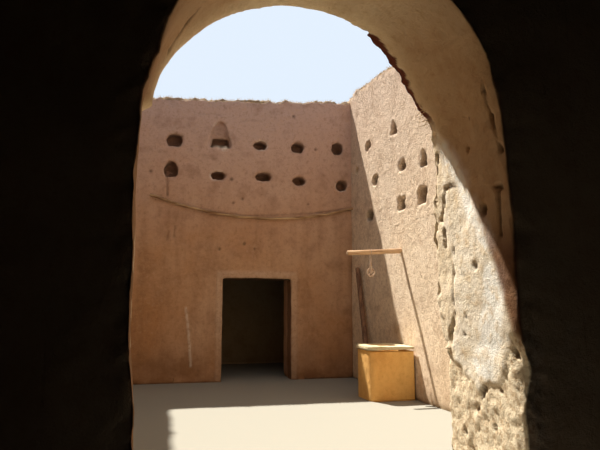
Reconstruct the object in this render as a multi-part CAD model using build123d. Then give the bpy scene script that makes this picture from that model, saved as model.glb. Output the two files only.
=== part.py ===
from build123d import *
import math
import os

# Adobe courtyard house, in millimetres.
# +Z is up and +Y runs from the entrance room through the court to the back room. The origin is on
# the ground at the middle of the house, and every wall stands on z = 0.

# Plan: two rooms with a court between them, all inside one outer wall
COURT_WIDTH = 5280.0
COURT_LENGTH = 8600.0
FRONT_ROOM_LENGTH = 3300.0
BACK_ROOM_LENGTH = 2600.0
WALL = 800.0
OUTSIDE_BATTER_DEG = 2.0
OUTSIDE_CORNER_WEAR = 130.0

HALF_COURT = COURT_WIDTH / 2
HALF_WIDTH = HALF_COURT + WALL
HALF_LENGTH = (FRONT_ROOM_LENGTH + COURT_LENGTH + BACK_ROOM_LENGTH + 4 * WALL) / 2
FRONT_ROOM_Y0 = -HALF_LENGTH + WALL
FRONT_ROOM_Y1 = FRONT_ROOM_Y0 + FRONT_ROOM_LENGTH
COURT_Y0 = FRONT_ROOM_Y1 + WALL
COURT_Y1 = COURT_Y0 + COURT_LENGTH
BACK_ROOM_Y0 = COURT_Y1 + WALL
BACK_ROOM_Y1 = BACK_ROOM_Y0 + BACK_ROOM_LENGTH

# Lifts of the masonry, and the worn wall tops
SIDE_LIFT_Z = 3000.0
SIDE_SPLIT_Y = 1000.0
BACK_LIFT_Z = 3760.0
SKY_Z = 6300.0
TOP_EDGE_WEAR = 70.0
TOP_EDGE_OVERCUT = 60.0

# Skylines: (place along the wall, height of its top)
SIDE_SKYLINE = [(-9000, 5640), (SIDE_SPLIT_Y, 5740), (2400, 5880), (3460, 6020), (4340, 6090), (9000, 5900)]
BACK_SKYLINE = [(-3000, 5590), (-1500, 5670), (430, 5785), (1510, 5840), (3000, 5985)]
ARCH_SKYLINE = [(-3000, 5570), (0, 5610), (3000, 5560)]
FRONT_SKYLINE = [(-3000, 5600), (0, 5640), (3000, 5610)]
REAR_SKYLINE = [(-3000, 5790), (0, 5840), (3000, 5800)]

# The open arch between the entrance room and the court
ARCH_X = -710.0
ARCH_RADIUS = 920.0
ARCH_SPRING_Z = 2410.0
WORN_FOOT_RADIUS = 250.0
WORN_FOOT_DEPTH = 30.0
WORN_FOOT_Z = 1100.0

# The thick mud edging left round the arch's right side, proud of the court face: its ragged outline
EDGING_PROUD = 150.0
EDGING_ROOT = 50.0
EDGING_OUTLINE = [
    (-300, 3200),
    (-190, 3290),
    (60, 3190),
    (210, 3010),
    (330, 2820),
    (370, 2560),
    (395, 2260),
    (350, 1980),
    (375, 1700),
    (330, 1450),
    (220, 1230),
    (100, 1330),
]

# Doorways, with timber lintels behind the plaster
DOOR_WIDTH = 1390.0
DOOR_HEIGHT = 2010.0
BACK_DOOR_X = 625.0
ENTRANCE_X = 1300.0
LINTEL_BEARING = 250.0
LINTEL_HEIGHT = 140.0
LINTEL_COUNT = 4
LINTEL_GAP = 12.0
LINTEL_RECESS = 130.0
LINTEL_COVER = 60.0
LINTEL_EDGE_WEAR = 20.0
LINTEL_TOP = DOOR_HEIGHT + LINTEL_HEIGHT
SURROUND_WIDTH = 130.0
SURROUND_PROUD = 18.0
SURROUND_EDGE_WEAR = 8.0

# Nest holes: (place along the wall, height of the middle, width, height, outline of the mouth)
NEST_DEPTH = 320.0
NEST_OVERCUT = 30.0
BACK_NESTS = [
    (-2010, 4760, 280, 240, "round"),
    (-1090, 4790, 330, 280, "round"),
    (660, 4790, 290, 180, "round"),
    (1460, 4795, 290, 230, "round"),
    (2340, 4830, 260, 250, "round"),
    (-2030, 4160, 270, 230, "round"),
    (-1140, 4200, 260, 300, "arched"),
    (-210, 4100, 320, 180, "round"),
    (730, 4120, 340, 190, "round"),
    (1490, 4070, 270, 200, "round"),
    (2430, 4020, 250, 220, "round"),
]
SIDE_NESTS = [
    (3640, 4640, 300, 175, "round"),
    (2340, 4640, 290, 240, "pointed"),
    (4290, 4270, 150, 140, "round"),
    (3290, 3880, 270, 190, "round"),
    (2020, 3880, 310, 180, "round"),
    (1230, 3830, 240, 270, "pointed"),
    (3610, 3230, 380, 210, "round"),
    (2080, 3220, 310, 200, "square"),
    (1280, 3230, 310, 270, "square"),
]

# Outlines of the mouths, in halves of their width and height
MOUTHS = {
    "round": [(-1, -0.15), (-0.62, -0.85), (0.1, -1), (0.75, -0.8), (1, -0.05), (0.72, 0.72), (0, 1), (-0.75, 0.8)],
    "square": [(-1, -0.9), (0.85, -1), (1, -0.7), (0.95, 0.75), (0.7, 1), (-0.75, 0.95), (-1, 0.6)],
    "pointed": [(-1, -1), (1, -0.95), (0.75, -0.2), (0.2, 1), (-0.25, 0.9), (-0.8, -0.1)],
    "arched": [(-1, -1), (1, -1), (0.9, 0.1), (0.5, 0.8), (0, 1), (-0.5, 0.85), (-0.92, 0.15)],
    "tall": [(-1, -1), (1, -1), (0.9, -0.3), (0.6, 0.6), (0.15, 1), (-0.3, 0.85), (-0.7, 0.1), (-0.95, -0.5)],
}

# The tall niche: a shallow recess that narrows upwards, with a deeper hole at its foot
NICHE_X = -170.0
NICHE_FOOT_Z = 4690.0
NICHE_WIDTH = 420.0
NICHE_HEIGHT = 560.0
NICHE_DEPTH = 90.0
NICHE_HOLE_WIDTH = 340.0
NICHE_HOLE_HEIGHT = 190.0

# Flat roofs: rough-hewn poles let into the walls, a cane mat, and beaten earth
POLE_RADIUS = 70.0
POLE_BEARING = 300.0
POLE_COUNT = 9
POLE_SIDES = 12
POLE_AXIS_Z = 4600.0
TAPERED_POLE_SIDES = 16
MAT_THICKNESS = 35.0
EARTH_THICKNESS = 170.0
ROOF_SIDE_GAP = 2.0

# The well in the court, against the right wall
WELL_X0 = 1880.0
WELL_Y0 = 1650.0
WELL_Y1 = 2380.0
WELL_CORNER_RADIUS = 130.0
WELL_HEIGHT = 860.0
WELL_RIM_THICKNESS = 80.0
WELL_RIM_OVERHANG = 25.0
WELL_RIM_CHAMFER = 15.0
WELL_SHAFT_RADIUS = 235.0
WELL_SHAFT_X = 2230.0
WELL_SHAFT_Y = 2050.0

# The pulley beam, let into the right wall over the well
BEAM_Y = 2150.0
BEAM_ROOT_Z = 2410.0
BEAM_TIP_X = 1680.0
BEAM_TIP_Z = 2360.0
BEAM_ROOT_RADIUS = 47.0
BEAM_TIP_RADIUS = 42.0
BEAM_EMBEDDED = 300.0
BEAM_EDGE_WEAR = 5.0

# The pulley: a hanger over the beam, a forged yoke with two cheeks, a pin and a spoked wheel
PULLEY_X = 2100.0
WHEEL_Z = 2040.0
WHEEL_RADIUS = 75.0
WHEEL_THICKNESS = 24.0
WHEEL_GROOVE_DEPTH = 10.0
WHEEL_GROOVE_WIDTH = 16.0
WHEEL_RIM_INNER_RADIUS = 55.0
HUB_RADIUS = 17.0
HUB_THICKNESS = 30.0
SPOKE_COUNT = 5
SPOKE_WIDTH = 12.0
SPOKE_THICKNESS = 10.0
PIN_RADIUS = 6.0
PIN_CLEARANCE = 0.08
PIN_HEAD_RADIUS = 10.0
PIN_HEAD_SIDES = 8
PIN_HEAD_THICKNESS = 5.0
CHEEK_GAP = 40.0
CHEEK_THICKNESS = 5.0
CHEEK_FOOT_RADIUS = 17.0
CHEEK_TOP_RADIUS = 11.0
CHEEK_TOP_Z = 2172.0
EYE_OUTER_RADIUS = 22.0
EYE_INNER_RADIUS = 12.0
EYE_THICKNESS = 9.0
EYE_SUNK = 3.0
HANGER_BAR_WIDTH = 10.0
HANGER_BAR_THICKNESS = 8.0
HANGER_CLEARANCE = 1.0
HANGER_EYE_CLEARANCE = 2.0
HANGER_FOOT_RADIUS = 12.0

# The bowed pole on the back wall, its right end let into the corner and its left end on a peg
BOW_LEFT = (-1540.0, 3640.0)
BOW_MIDDLE = (600.0, 3245.0)
BOW_RIGHT = (2640.0, 3520.0)
BOW_EMBEDDED = 90.0
BOW_RADIUS = 33.0
BOW_RUNS = 7
BOW_WALL_GAP = 1.0
PEG_SHARE = 0.2
PEG_RADIUS = 13.0
PEG_OUT = 90.0
PEG_EMBEDDED = 140.0
PEG_SLACK = 1.0

# The spare pole that leans on the right wall near its far corner
LEAN_FOOT = Vector(2500, 3300, 0)
LEAN_TOP_Y = 4160.0
LEAN_TOP_Z = 2230.0
LEAN_FOOT_RADIUS = 62.0
LEAN_TOP_RADIUS = 48.0
LEAN_GAP = 1.0


def block(x0, x1, y0, y1, z0, z1):
    """A box between two corners."""
    return Pos(x0, y0, z0) * Box(x1 - x0, y1 - y0, z1 - z0, align=(Align.MIN, Align.MIN, Align.MIN))


def outer_mass():
    """The outside of the house as one battered block with worn corners."""
    mass = extrude(Rectangle(2 * HALF_WIDTH, 2 * HALF_LENGTH), amount=SKY_Z, taper=OUTSIDE_BATTER_DEG)
    corners = [edge for edge in mass.edges() if abs((edge @ 1 - edge @ 0).Z) > SKY_Z / 2]
    return chamfer(corners, OUTSIDE_CORNER_WEAR)


MASS = outer_mass()


def skyline_cut(points, plane, reach):
    """Everything under a skyline that is drawn on an upright plane."""
    below = [(points[-1][0], -10), (points[0][0], -10)]
    return extrude(plane * make_face(Polyline(*points, *below, close=True)), amount=reach, both=True)


def worn_top(wall, edge_points, inward):
    """The same wall with one long edge of its top worn off; inward points across the wall from that edge."""
    up = Vector(0, 0, 1)
    reach = TOP_EDGE_WEAR + TOP_EDGE_OVERCUT
    for start, end in zip(edge_points, edge_points[1:]):
        on_top = start + inward * reach + up * TOP_EDGE_OVERCUT
        on_face = start - up * reach - inward * TOP_EDGE_OVERCUT
        outside = start - inward * TOP_EDGE_OVERCUT + up * TOP_EDGE_OVERCUT
        corner = make_face(Polyline(on_top, on_face, outside, close=True))
        wall = wall - extrude(corner, amount=(end - start).length, dir=end - start)
    return wall


def battered(distance, z):
    """How far the outside stands from the middle of the house at a height."""
    return distance - z * math.tan(math.radians(OUTSIDE_BATTER_DEG))


def side_wall(side):
    """The full side wall, from the ground to its skyline; side is -1 for left and 1 for right."""
    x0, x1 = sorted((side * HALF_COURT, side * (HALF_WIDTH + 10)))
    wall = MASS & block(x0, x1, -HALF_LENGTH - 10, HALF_LENGTH + 10, 0, SKY_Z)
    wall = wall & skyline_cut(SIDE_SKYLINE, Plane.YZ, 2 * HALF_WIDTH)
    inner = [Vector(side * HALF_COURT, y, z) for y, z in SIDE_SKYLINE]
    outer = [Vector(side * battered(HALF_WIDTH, z), y, z) for y, z in SIDE_SKYLINE]
    return worn_top(worn_top(wall, inner, Vector(side, 0, 0)), outer, Vector(-side, 0, 0))


def cross_wall(y0, y1, skyline):
    """A full cross wall between the side walls, from the ground to its skyline."""
    wall = MASS & block(-HALF_COURT, HALF_COURT, y0, y1, 0, SKY_Z)
    wall = wall & skyline_cut(skyline, Plane.XZ, 2 * HALF_LENGTH)
    front = [Vector(x, max(y0, -battered(HALF_LENGTH, z)), z) for x, z in skyline]
    back = [Vector(x, min(y1, battered(HALF_LENGTH, z)), z) for x, z in skyline]
    return worn_top(worn_top(wall, front, Vector(0, 1, 0)), back, Vector(0, -1, 0))


def slice_of(wall, z0, z1, x0=-HALF_WIDTH - 10, x1=HALF_WIDTH + 10):
    """The stretch of a wall between two heights, and between two places across the house."""
    return wall & block(x0, x1, -HALF_LENGTH - 20, HALF_LENGTH + 20, z0, z1)


def nest_mouth(width, height, kind):
    """The outline of a nest hole's mouth, about its own middle."""
    corners = [(x * width / 2, z * height / 2) for x, z in MOUTHS[kind]]
    return make_face(Polyline(*corners, close=True))


def nest_space(face, width, height, kind):
    """The space of one nest hole, cut into the wall along the face plane's normal."""
    front = face * Pos(0, 0, -NEST_OVERCUT)
    return extrude(front * nest_mouth(width, height, kind), amount=NEST_OVERCUT + NEST_DEPTH)


def back_face(x, z):
    """A plane on the court's back face, with its normal into the wall."""
    return Plane(origin=(x, COURT_Y1, z), x_dir=(-1, 0, 0), z_dir=(0, 1, 0))


def side_face(side, y, z):
    """A plane on the court's side face, with its normal into the wall."""
    return Plane(origin=(side * HALF_COURT, y, z), x_dir=(0, side, 0), z_dir=(side, 0, 0))


def niche_space():
    """The tall niche with the deeper hole at its foot."""
    middle = NICHE_FOOT_Z + NICHE_HEIGHT / 2
    recess = back_face(NICHE_X, middle) * nest_mouth(NICHE_WIDTH, NICHE_HEIGHT, "tall")
    shallow = extrude(recess, amount=NICHE_DEPTH) + extrude(recess, amount=-NEST_OVERCUT)
    hole_z = NICHE_FOOT_Z + NICHE_HOLE_HEIGHT / 2
    hole = back_face(NICHE_X, hole_z) * nest_mouth(NICHE_HOLE_WIDTH, NICHE_HOLE_HEIGHT, "square")
    return shallow + extrude(hole, amount=NEST_DEPTH)


def pole_places():
    """The roof poles' places across the house, evenly spaced between the side walls."""
    pitch = COURT_WIDTH / (POLE_COUNT + 1)
    return [-HALF_COURT + (i + 1) * pitch for i in range(POLE_COUNT)]


def roof_poles(y0, y1):
    """The hewn poles over one room, each let into the walls at both ends."""
    reach = (y1 - y0) / 2 + POLE_BEARING
    middle = (y0 + y1) / 2
    pole = Rot(90, 0, 0) * extrude(RegularPolygon(POLE_RADIUS, POLE_SIDES), amount=reach, both=True)
    return [Pos(x, middle, POLE_AXIS_Z) * pole for x in pole_places()]


def roof_layer(y0, y1, z0, thickness):
    """A flat roof layer that fills the space between the walls of one room."""
    gap = ROOF_SIDE_GAP
    return block(-HALF_COURT + gap, HALF_COURT - gap, y0 + gap, y1 - gap, z0, z0 + thickness)


def lintel_bed(y0, y1, door_x, height):
    """The space that a row of lintels takes up, from the door's head upwards."""
    reach = DOOR_WIDTH / 2 + LINTEL_BEARING
    return block(door_x - reach, door_x + reach, y0, y1, DOOR_HEIGHT, DOOR_HEIGHT + height)


def door_bay(wall, door_x, y0, y1):
    """Left pier, right pier and the wall over a doorway, with the lintels' bed cut from y0 to y1."""
    bed = lintel_bed(y0, y1, door_x, LINTEL_HEIGHT + 10)
    left = slice_of(wall, 0, LINTEL_TOP, x1=door_x - DOOR_WIDTH / 2) - bed
    right = slice_of(wall, 0, LINTEL_TOP, x0=door_x + DOOR_WIDTH / 2) - bed
    return left, right, slice_of(wall, LINTEL_TOP, SKY_Z)


def lintels(y0, y1, door_x):
    """A row of squared timbers across a doorway."""
    pitch = (y1 - y0) / LINTEL_COUNT
    timbers = []
    for i in range(LINTEL_COUNT):
        front = y0 + i * pitch + LINTEL_GAP / 2
        back = y0 + (i + 1) * pitch - LINTEL_GAP / 2
        timber = lintel_bed(front, back, door_x, LINTEL_HEIGHT)
        timbers.append(chamfer(timber.edges().filter_by(Axis.X), LINTEL_EDGE_WEAR))
    return timbers


def doorway_surround():
    """The plaster band round the back doorway, with the facing that hides its lintels."""
    outer_width = DOOR_WIDTH + 2 * SURROUND_WIDTH
    outer = block(
        BACK_DOOR_X - outer_width / 2,
        BACK_DOOR_X + outer_width / 2,
        COURT_Y1 - SURROUND_PROUD,
        COURT_Y1,
        0,
        DOOR_HEIGHT + SURROUND_WIDTH,
    )
    way = block(
        BACK_DOOR_X - DOOR_WIDTH / 2,
        BACK_DOOR_X + DOOR_WIDTH / 2,
        COURT_Y1 - 100,
        COURT_Y1 + 100,
        -10,
        DOOR_HEIGHT,
    )
    band = outer - way
    front = band.faces().sort_by(Axis.Y)[0]
    facing = block(
        BACK_DOOR_X - DOOR_WIDTH / 2,
        BACK_DOOR_X + DOOR_WIDTH / 2,
        COURT_Y1,
        COURT_Y1 + LINTEL_COVER,
        DOOR_HEIGHT,
        LINTEL_TOP,
    )
    return chamfer(front.edges(), SURROUND_EDGE_WEAR) + facing


def arch_space():
    """The arched way through the wall between the entrance room and the court."""
    outline = Pos(ARCH_X, ARCH_SPRING_Z) * Circle(ARCH_RADIUS)
    outline += Pos(ARCH_X, ARCH_SPRING_Z / 2 - 5) * Rectangle(2 * ARCH_RADIUS, ARCH_SPRING_Z + 10)
    return extrude(Plane.XZ * outline, amount=2 * HALF_LENGTH, both=True)


def court_edging():
    """The ragged mud edging round the arch's right side, from inside the wall out into the court."""
    outline = make_face(Polyline(*EDGING_OUTLINE, close=True))
    front = Plane(origin=(0, COURT_Y0 + EDGING_PROUD, 0), x_dir=(1, 0, 0), z_dir=(0, -1, 0))
    return extrude(front * outline, amount=EDGING_PROUD + EDGING_ROOT, dir=(0, -1, 0))


def worn_foot():
    """The scoop where the right jamb's arris towards the entrance room is worn away at its foot."""
    reach = (WORN_FOOT_RADIUS - WORN_FOOT_DEPTH) / math.sqrt(2)
    place = Pos(ARCH_X + ARCH_RADIUS - reach, FRONT_ROOM_Y1 - reach, 0)
    column = Pos(0, 0, WORN_FOOT_Z / 2) * Cylinder(WORN_FOOT_RADIUS, WORN_FOOT_Z)
    return place * (column + Pos(0, 0, WORN_FOOT_Z) * Sphere(WORN_FOOT_RADIUS))


def well_outline(grow):
    """The well's plan: flat against the right wall, with rounded corners towards the court."""
    x0, y0, y1 = WELL_X0 - grow, WELL_Y0 - grow, WELL_Y1 + grow
    plan = make_face(Polyline((x0, y0), (HALF_COURT, y0), (HALF_COURT, y1), (x0, y1), close=True))
    return fillet(plan.vertices().sort_by(Axis.X)[:2], WELL_CORNER_RADIUS + grow)


def well_curb():
    """The curb's wall round the open shaft."""
    shaft = Pos(WELL_SHAFT_X, WELL_SHAFT_Y) * Circle(WELL_SHAFT_RADIUS)
    return extrude(well_outline(0) - shaft, amount=WELL_HEIGHT - WELL_RIM_THICKNESS)


def well_rim():
    """The coping on the curb, a little wider than it and worn along its upper edges."""
    shaft = Pos(WELL_SHAFT_X, WELL_SHAFT_Y) * Circle(WELL_SHAFT_RADIUS)
    rim = extrude(well_outline(WELL_RIM_OVERHANG) - shaft, amount=WELL_RIM_THICKNESS)
    rim = Pos(0, 0, WELL_HEIGHT - WELL_RIM_THICKNESS) * rim
    top = rim.faces().sort_by(Axis.Z)[-1]
    worn = [edge for edge in top.edges() if edge.center().X < HALF_COURT - 1]
    return chamfer(worn, WELL_RIM_CHAMFER)


def beam_axis(x):
    """A point on the pulley beam's axis."""
    rise = (BEAM_ROOT_Z - BEAM_TIP_Z) / (HALF_COURT - BEAM_TIP_X)
    return Vector(x, BEAM_Y, BEAM_TIP_Z + rise * (x - BEAM_TIP_X))


def tapered_pole(start, end, start_radius, end_radius):
    """A straight rough-hewn pole between two points."""
    foot = Plane(origin=start, z_dir=end - start) * RegularPolygon(start_radius, TAPERED_POLE_SIDES)
    head = Plane(origin=end, z_dir=end - start) * RegularPolygon(end_radius, TAPERED_POLE_SIDES)
    return loft([foot, head], ruled=True)


def pulley_beam():
    """The beam, with a blunt worn tip."""
    beam = tapered_pole(
        beam_axis(BEAM_TIP_X), beam_axis(HALF_COURT + BEAM_EMBEDDED), BEAM_TIP_RADIUS, BEAM_ROOT_RADIUS
    )
    tip = beam.faces().sort_by(Axis.X)[0]
    return chamfer(tip.edges(), BEAM_EDGE_WEAR)


def bow_points():
    """The bends of the bowed pole's centre line, on an arc in front of the court's back face."""
    y = COURT_Y1 - BOW_WALL_GAP - BOW_RADIUS
    arc = ThreePointArc(*[(x, y, z) for x, z in (BOW_LEFT, BOW_MIDDLE, BOW_RIGHT)])
    return [arc @ (i / BOW_RUNS) for i in range(BOW_RUNS + 1)]


def bowed_pole():
    """The bowed pole in straight runs from bend to bend, its last one let into the right wall."""
    points = bow_points()
    last_run = points[-1] - points[-2]
    points[-1] += last_run.normalized() * BOW_EMBEDDED
    start = Plane(origin=points[0], z_dir=points[1] - points[0])
    return sweep(start * Circle(BOW_RADIUS), path=Polyline(*points), transition=Transition.RIGHT)


def bow_peg():
    """The wooden peg under the bowed pole's left end."""
    points = bow_points()
    run = points[1] - points[0]
    rest = points[0] + run * PEG_SHARE
    drop = (BOW_RADIUS + PEG_RADIUS + PEG_SLACK) / abs(run.normalized().X)
    length = PEG_OUT + PEG_EMBEDDED
    middle_y = COURT_Y1 + PEG_EMBEDDED - length / 2
    return Pos(rest.X, middle_y, rest.Z - drop) * Rot(90, 0, 0) * Cylinder(PEG_RADIUS, length)


def leaning_pole():
    """The pole that leans on the right wall, its foot flat on the ground."""
    top = Vector(HALF_COURT - LEAN_TOP_RADIUS - LEAN_GAP, LEAN_TOP_Y, LEAN_TOP_Z)
    below = LEAN_FOOT - (top - LEAN_FOOT) * 0.05
    pole = tapered_pole(below, top, LEAN_FOOT_RADIUS, LEAN_TOP_RADIUS)
    return pole & block(0, HALF_COURT, 0, COURT_Y1, 0, SKY_Z)


def teardrop(low_z, low_radius, high_z, high_radius):
    """The outline round two circles, one above the other, with straight flanks between them."""
    lean = math.asin((low_radius - high_radius) / (high_z - low_z))
    sides = []
    for sign in (-1, 1):
        for radius, z in ((low_radius, low_z), (high_radius, high_z)):
            sides.append((sign * radius * math.cos(lean), z + radius * math.sin(lean)))
    flanks = make_face(Polyline(sides[0], sides[1], sides[3], sides[2], close=True))
    return Pos(0, low_z) * Circle(low_radius) + Pos(0, high_z) * Circle(high_radius) + flanks


def eye_height():
    """The height of the middle of the eye on top of the yoke."""
    return CHEEK_TOP_Z + CHEEK_TOP_RADIUS + EYE_OUTER_RADIUS - EYE_SUNK


def pulley_cheeks():
    """The two teardrop cheeks of the yoke, drilled for the pin."""
    outline = teardrop(WHEEL_Z, CHEEK_FOOT_RADIUS, CHEEK_TOP_Z, CHEEK_TOP_RADIUS)
    outline -= Pos(0, WHEEL_Z) * Circle(PIN_RADIUS)
    cheeks = []
    for y in (-CHEEK_GAP / 2, CHEEK_GAP / 2 + CHEEK_THICKNESS):
        plane = Plane(origin=(PULLEY_X, BEAM_Y + y, 0), x_dir=(1, 0, 0), z_dir=(0, -1, 0))
        cheeks.append(extrude(plane * outline, amount=CHEEK_THICKNESS))
    return cheeks


def pulley_crown():
    """The round bar between the cheeks' tops, with the eye that the hanger carries."""
    bar = Pos(0, 0, CHEEK_TOP_Z) * Rot(90, 0, 0) * Cylinder(CHEEK_TOP_RADIUS, CHEEK_GAP)
    ring = Cylinder(EYE_OUTER_RADIUS, EYE_THICKNESS) - Cylinder(EYE_INNER_RADIUS, EYE_THICKNESS)
    return Pos(PULLEY_X, BEAM_Y, 0) * (bar + Pos(0, 0, eye_height()) * Rot(90, 0, 0) * ring)


def pulley_hanger():
    """The closed link of flat iron that hangs over the beam and carries the yoke by its eye."""
    axis = beam_axis(PULLEY_X)
    share = (PULLEY_X - BEAM_TIP_X) / (HALF_COURT + BEAM_EMBEDDED - BEAM_TIP_X)
    beam_radius = BEAM_TIP_RADIUS + share * (BEAM_ROOT_RADIUS - BEAM_TIP_RADIUS)
    top_radius = beam_radius + HANGER_CLEARANCE
    foot_z = eye_height() + EYE_INNER_RADIUS - HANGER_EYE_CLEARANCE + HANGER_FOOT_RADIUS
    outer = teardrop(foot_z, HANGER_FOOT_RADIUS + HANGER_BAR_WIDTH, axis.Z, top_radius + HANGER_BAR_WIDTH)
    inner = teardrop(foot_z, HANGER_FOOT_RADIUS, axis.Z, top_radius)
    upright = Plane(origin=(PULLEY_X, BEAM_Y, 0), x_dir=(0, 1, 0), z_dir=(1, 0, 0))
    return extrude(upright * (outer - inner), amount=HANGER_BAR_THICKNESS / 2, both=True)


def pulley_pin():
    """The wheel's pin, hammered to a flat-sided head over each cheek."""
    span = CHEEK_GAP + 2 * CHEEK_THICKNESS
    pin = Cylinder(PIN_RADIUS, span)
    head = extrude(RegularPolygon(PIN_HEAD_RADIUS, PIN_HEAD_SIDES), amount=PIN_HEAD_THICKNESS)
    pin += Pos(0, 0, span / 2) * head + Pos(0, 0, -span / 2 - PIN_HEAD_THICKNESS) * head
    return Pos(PULLEY_X, BEAM_Y, WHEEL_Z) * Rot(90, 0, 0) * pin


def pulley_wheel():
    """The grooved wheel with its hub and spokes."""
    floor_radius = WHEEL_RADIUS - WHEEL_GROOVE_DEPTH
    half = WHEEL_THICKNESS / 2
    section = Polyline(
        (WHEEL_RIM_INNER_RADIUS, -half),
        (WHEEL_RADIUS, -half),
        (WHEEL_RADIUS, -WHEEL_GROOVE_WIDTH / 2),
        (floor_radius, 0),
        (WHEEL_RADIUS, WHEEL_GROOVE_WIDTH / 2),
        (WHEEL_RADIUS, half),
        (WHEEL_RIM_INNER_RADIUS, half),
        close=True,
    )
    wheel = revolve(Plane.XZ * make_face(section), Axis.Z) + Cylinder(HUB_RADIUS, HUB_THICKNESS)
    reach = (HUB_RADIUS + WHEEL_RIM_INNER_RADIUS) / 2
    length = WHEEL_RIM_INNER_RADIUS - HUB_RADIUS + 8
    for i in range(SPOKE_COUNT):
        turn = Rot(0, 0, 90 + i * 360 / SPOKE_COUNT)
        wheel += turn * Pos(reach, 0, 0) * Box(length, SPOKE_WIDTH, SPOKE_THICKNESS)
    wheel -= Cylinder(PIN_RADIUS + PIN_CLEARANCE, 2 * HUB_THICKNESS)
    return Pos(PULLEY_X, BEAM_Y, WHEEL_Z) * Rot(90, 0, 0) * wheel


def cut_all(wall, spaces):
    """A wall with a list of spaces cut out of it."""
    for space in spaces:
        wall = wall - space
    return wall


def main():
    """Build every piece of the house and write its file."""
    front_poles = roof_poles(FRONT_ROOM_Y0, FRONT_ROOM_Y1)
    back_poles = roof_poles(BACK_ROOM_Y0, BACK_ROOM_Y1)
    pieces = {}

    front = cross_wall(-HALF_LENGTH, FRONT_ROOM_Y0, FRONT_SKYLINE)
    entrance_y = -HALF_LENGTH + LINTEL_RECESS
    left, right, over = door_bay(front, ENTRANCE_X, entrance_y, FRONT_ROOM_Y0 + 10)
    pieces["front_wall_left"] = left
    pieces["front_wall_right"] = right
    pieces["front_wall_upper"] = cut_all(over, front_poles)
    pieces["entrance_lintel"] = lintels(entrance_y, FRONT_ROOM_Y0, ENTRANCE_X)

    arch = cross_wall(FRONT_ROOM_Y1, COURT_Y0, ARCH_SKYLINE) + court_edging()
    pieces["arch_wall_left"] = slice_of(arch, 0, ARCH_SPRING_Z, x1=ARCH_X - ARCH_RADIUS)
    pieces["arch_wall_right"] = slice_of(arch, 0, ARCH_SPRING_Z, x0=ARCH_X + ARCH_RADIUS) - worn_foot()
    pieces["arch_wall_head"] = cut_all(slice_of(arch, ARCH_SPRING_Z, SKY_Z) - arch_space(), front_poles)

    pole, peg = bowed_pole(), bow_peg()
    back = cross_wall(COURT_Y1, BACK_ROOM_Y0, BACK_SKYLINE)
    doorway_y = COURT_Y1 + LINTEL_COVER
    left, right, over = door_bay(back, BACK_DOOR_X, doorway_y, BACK_ROOM_Y0 + 10)
    pieces["back_wall_left"] = left
    pieces["back_wall_right"] = right
    pieces["back_wall_middle"] = slice_of(over, LINTEL_TOP, BACK_LIFT_Z) - peg
    nests = [nest_space(back_face(x, z), w, h, kind) for x, z, w, h, kind in BACK_NESTS]
    upper = slice_of(over, BACK_LIFT_Z, SKY_Z) - niche_space()
    pieces["back_wall_upper"] = cut_all(cut_all(upper, nests), back_poles)
    pieces["doorway_lintel"] = lintels(doorway_y, BACK_ROOM_Y0, BACK_DOOR_X)
    pieces["doorway_surround"] = doorway_surround()

    rear = cross_wall(BACK_ROOM_Y1, HALF_LENGTH, REAR_SKYLINE)
    pieces["rear_wall"] = cut_all(rear, back_poles)

    for name, side in (("left", -1), ("right", 1)):
        wall = side_wall(side)
        nests = [nest_space(side_face(side, y, z), w, h, kind) for y, z, w, h, kind in SIDE_NESTS]
        upper = slice_of(wall, SIDE_LIFT_Z, SKY_Z)
        pieces[name + "_wall_lower"] = slice_of(wall, 0, SIDE_LIFT_Z)
        pieces[name + "_wall_upper_front"] = split(upper, Plane.XZ.offset(-SIDE_SPLIT_Y), keep=Keep.TOP)
        rear = split(upper, Plane.XZ.offset(-SIDE_SPLIT_Y), keep=Keep.BOTTOM)
        pieces[name + "_wall_upper_back"] = cut_all(rear, nests)
    pieces["right_wall_lower"] -= pulley_beam()
    pieces["right_wall_upper_back"] -= pole

    mat_z = POLE_AXIS_Z + POLE_RADIUS
    for name, poles, y0, y1 in (
        ("front", front_poles, FRONT_ROOM_Y0, FRONT_ROOM_Y1),
        ("back", back_poles, BACK_ROOM_Y0, BACK_ROOM_Y1),
    ):
        pieces[name + "_roof_poles"] = poles
        pieces[name + "_roof_mat"] = roof_layer(y0, y1, mat_z, MAT_THICKNESS)
        pieces[name + "_roof_earth"] = roof_layer(y0, y1, mat_z + MAT_THICKNESS, EARTH_THICKNESS)

    pieces["well_curb"] = well_curb()
    pieces["well_rim"] = well_rim()
    pieces["pulley_beam"] = pulley_beam()
    pieces["pulley_hanger"] = pulley_hanger()
    pieces["pulley_crown"] = pulley_crown()
    pieces["pulley_cheeks"] = pulley_cheeks()
    pieces["pulley_pin"] = pulley_pin()
    pieces["pulley_wheel"] = pulley_wheel()
    pieces["bowed_pole"] = pole
    pieces["bowed_pole_peg"] = peg
    pieces["leaning_pole"] = leaning_pole()

    os.makedirs("parts", exist_ok=True)
    for name, shape in pieces.items():
        solids = shape if isinstance(shape, list) else shape.solids()
        whole = solids[0] if len(solids) == 1 else Compound(children=[*solids])
        export_step(whole, "parts/" + name + ".step")


main()
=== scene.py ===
"""Adobe courtyard house: worn mud walls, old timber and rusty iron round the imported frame."""

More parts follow.
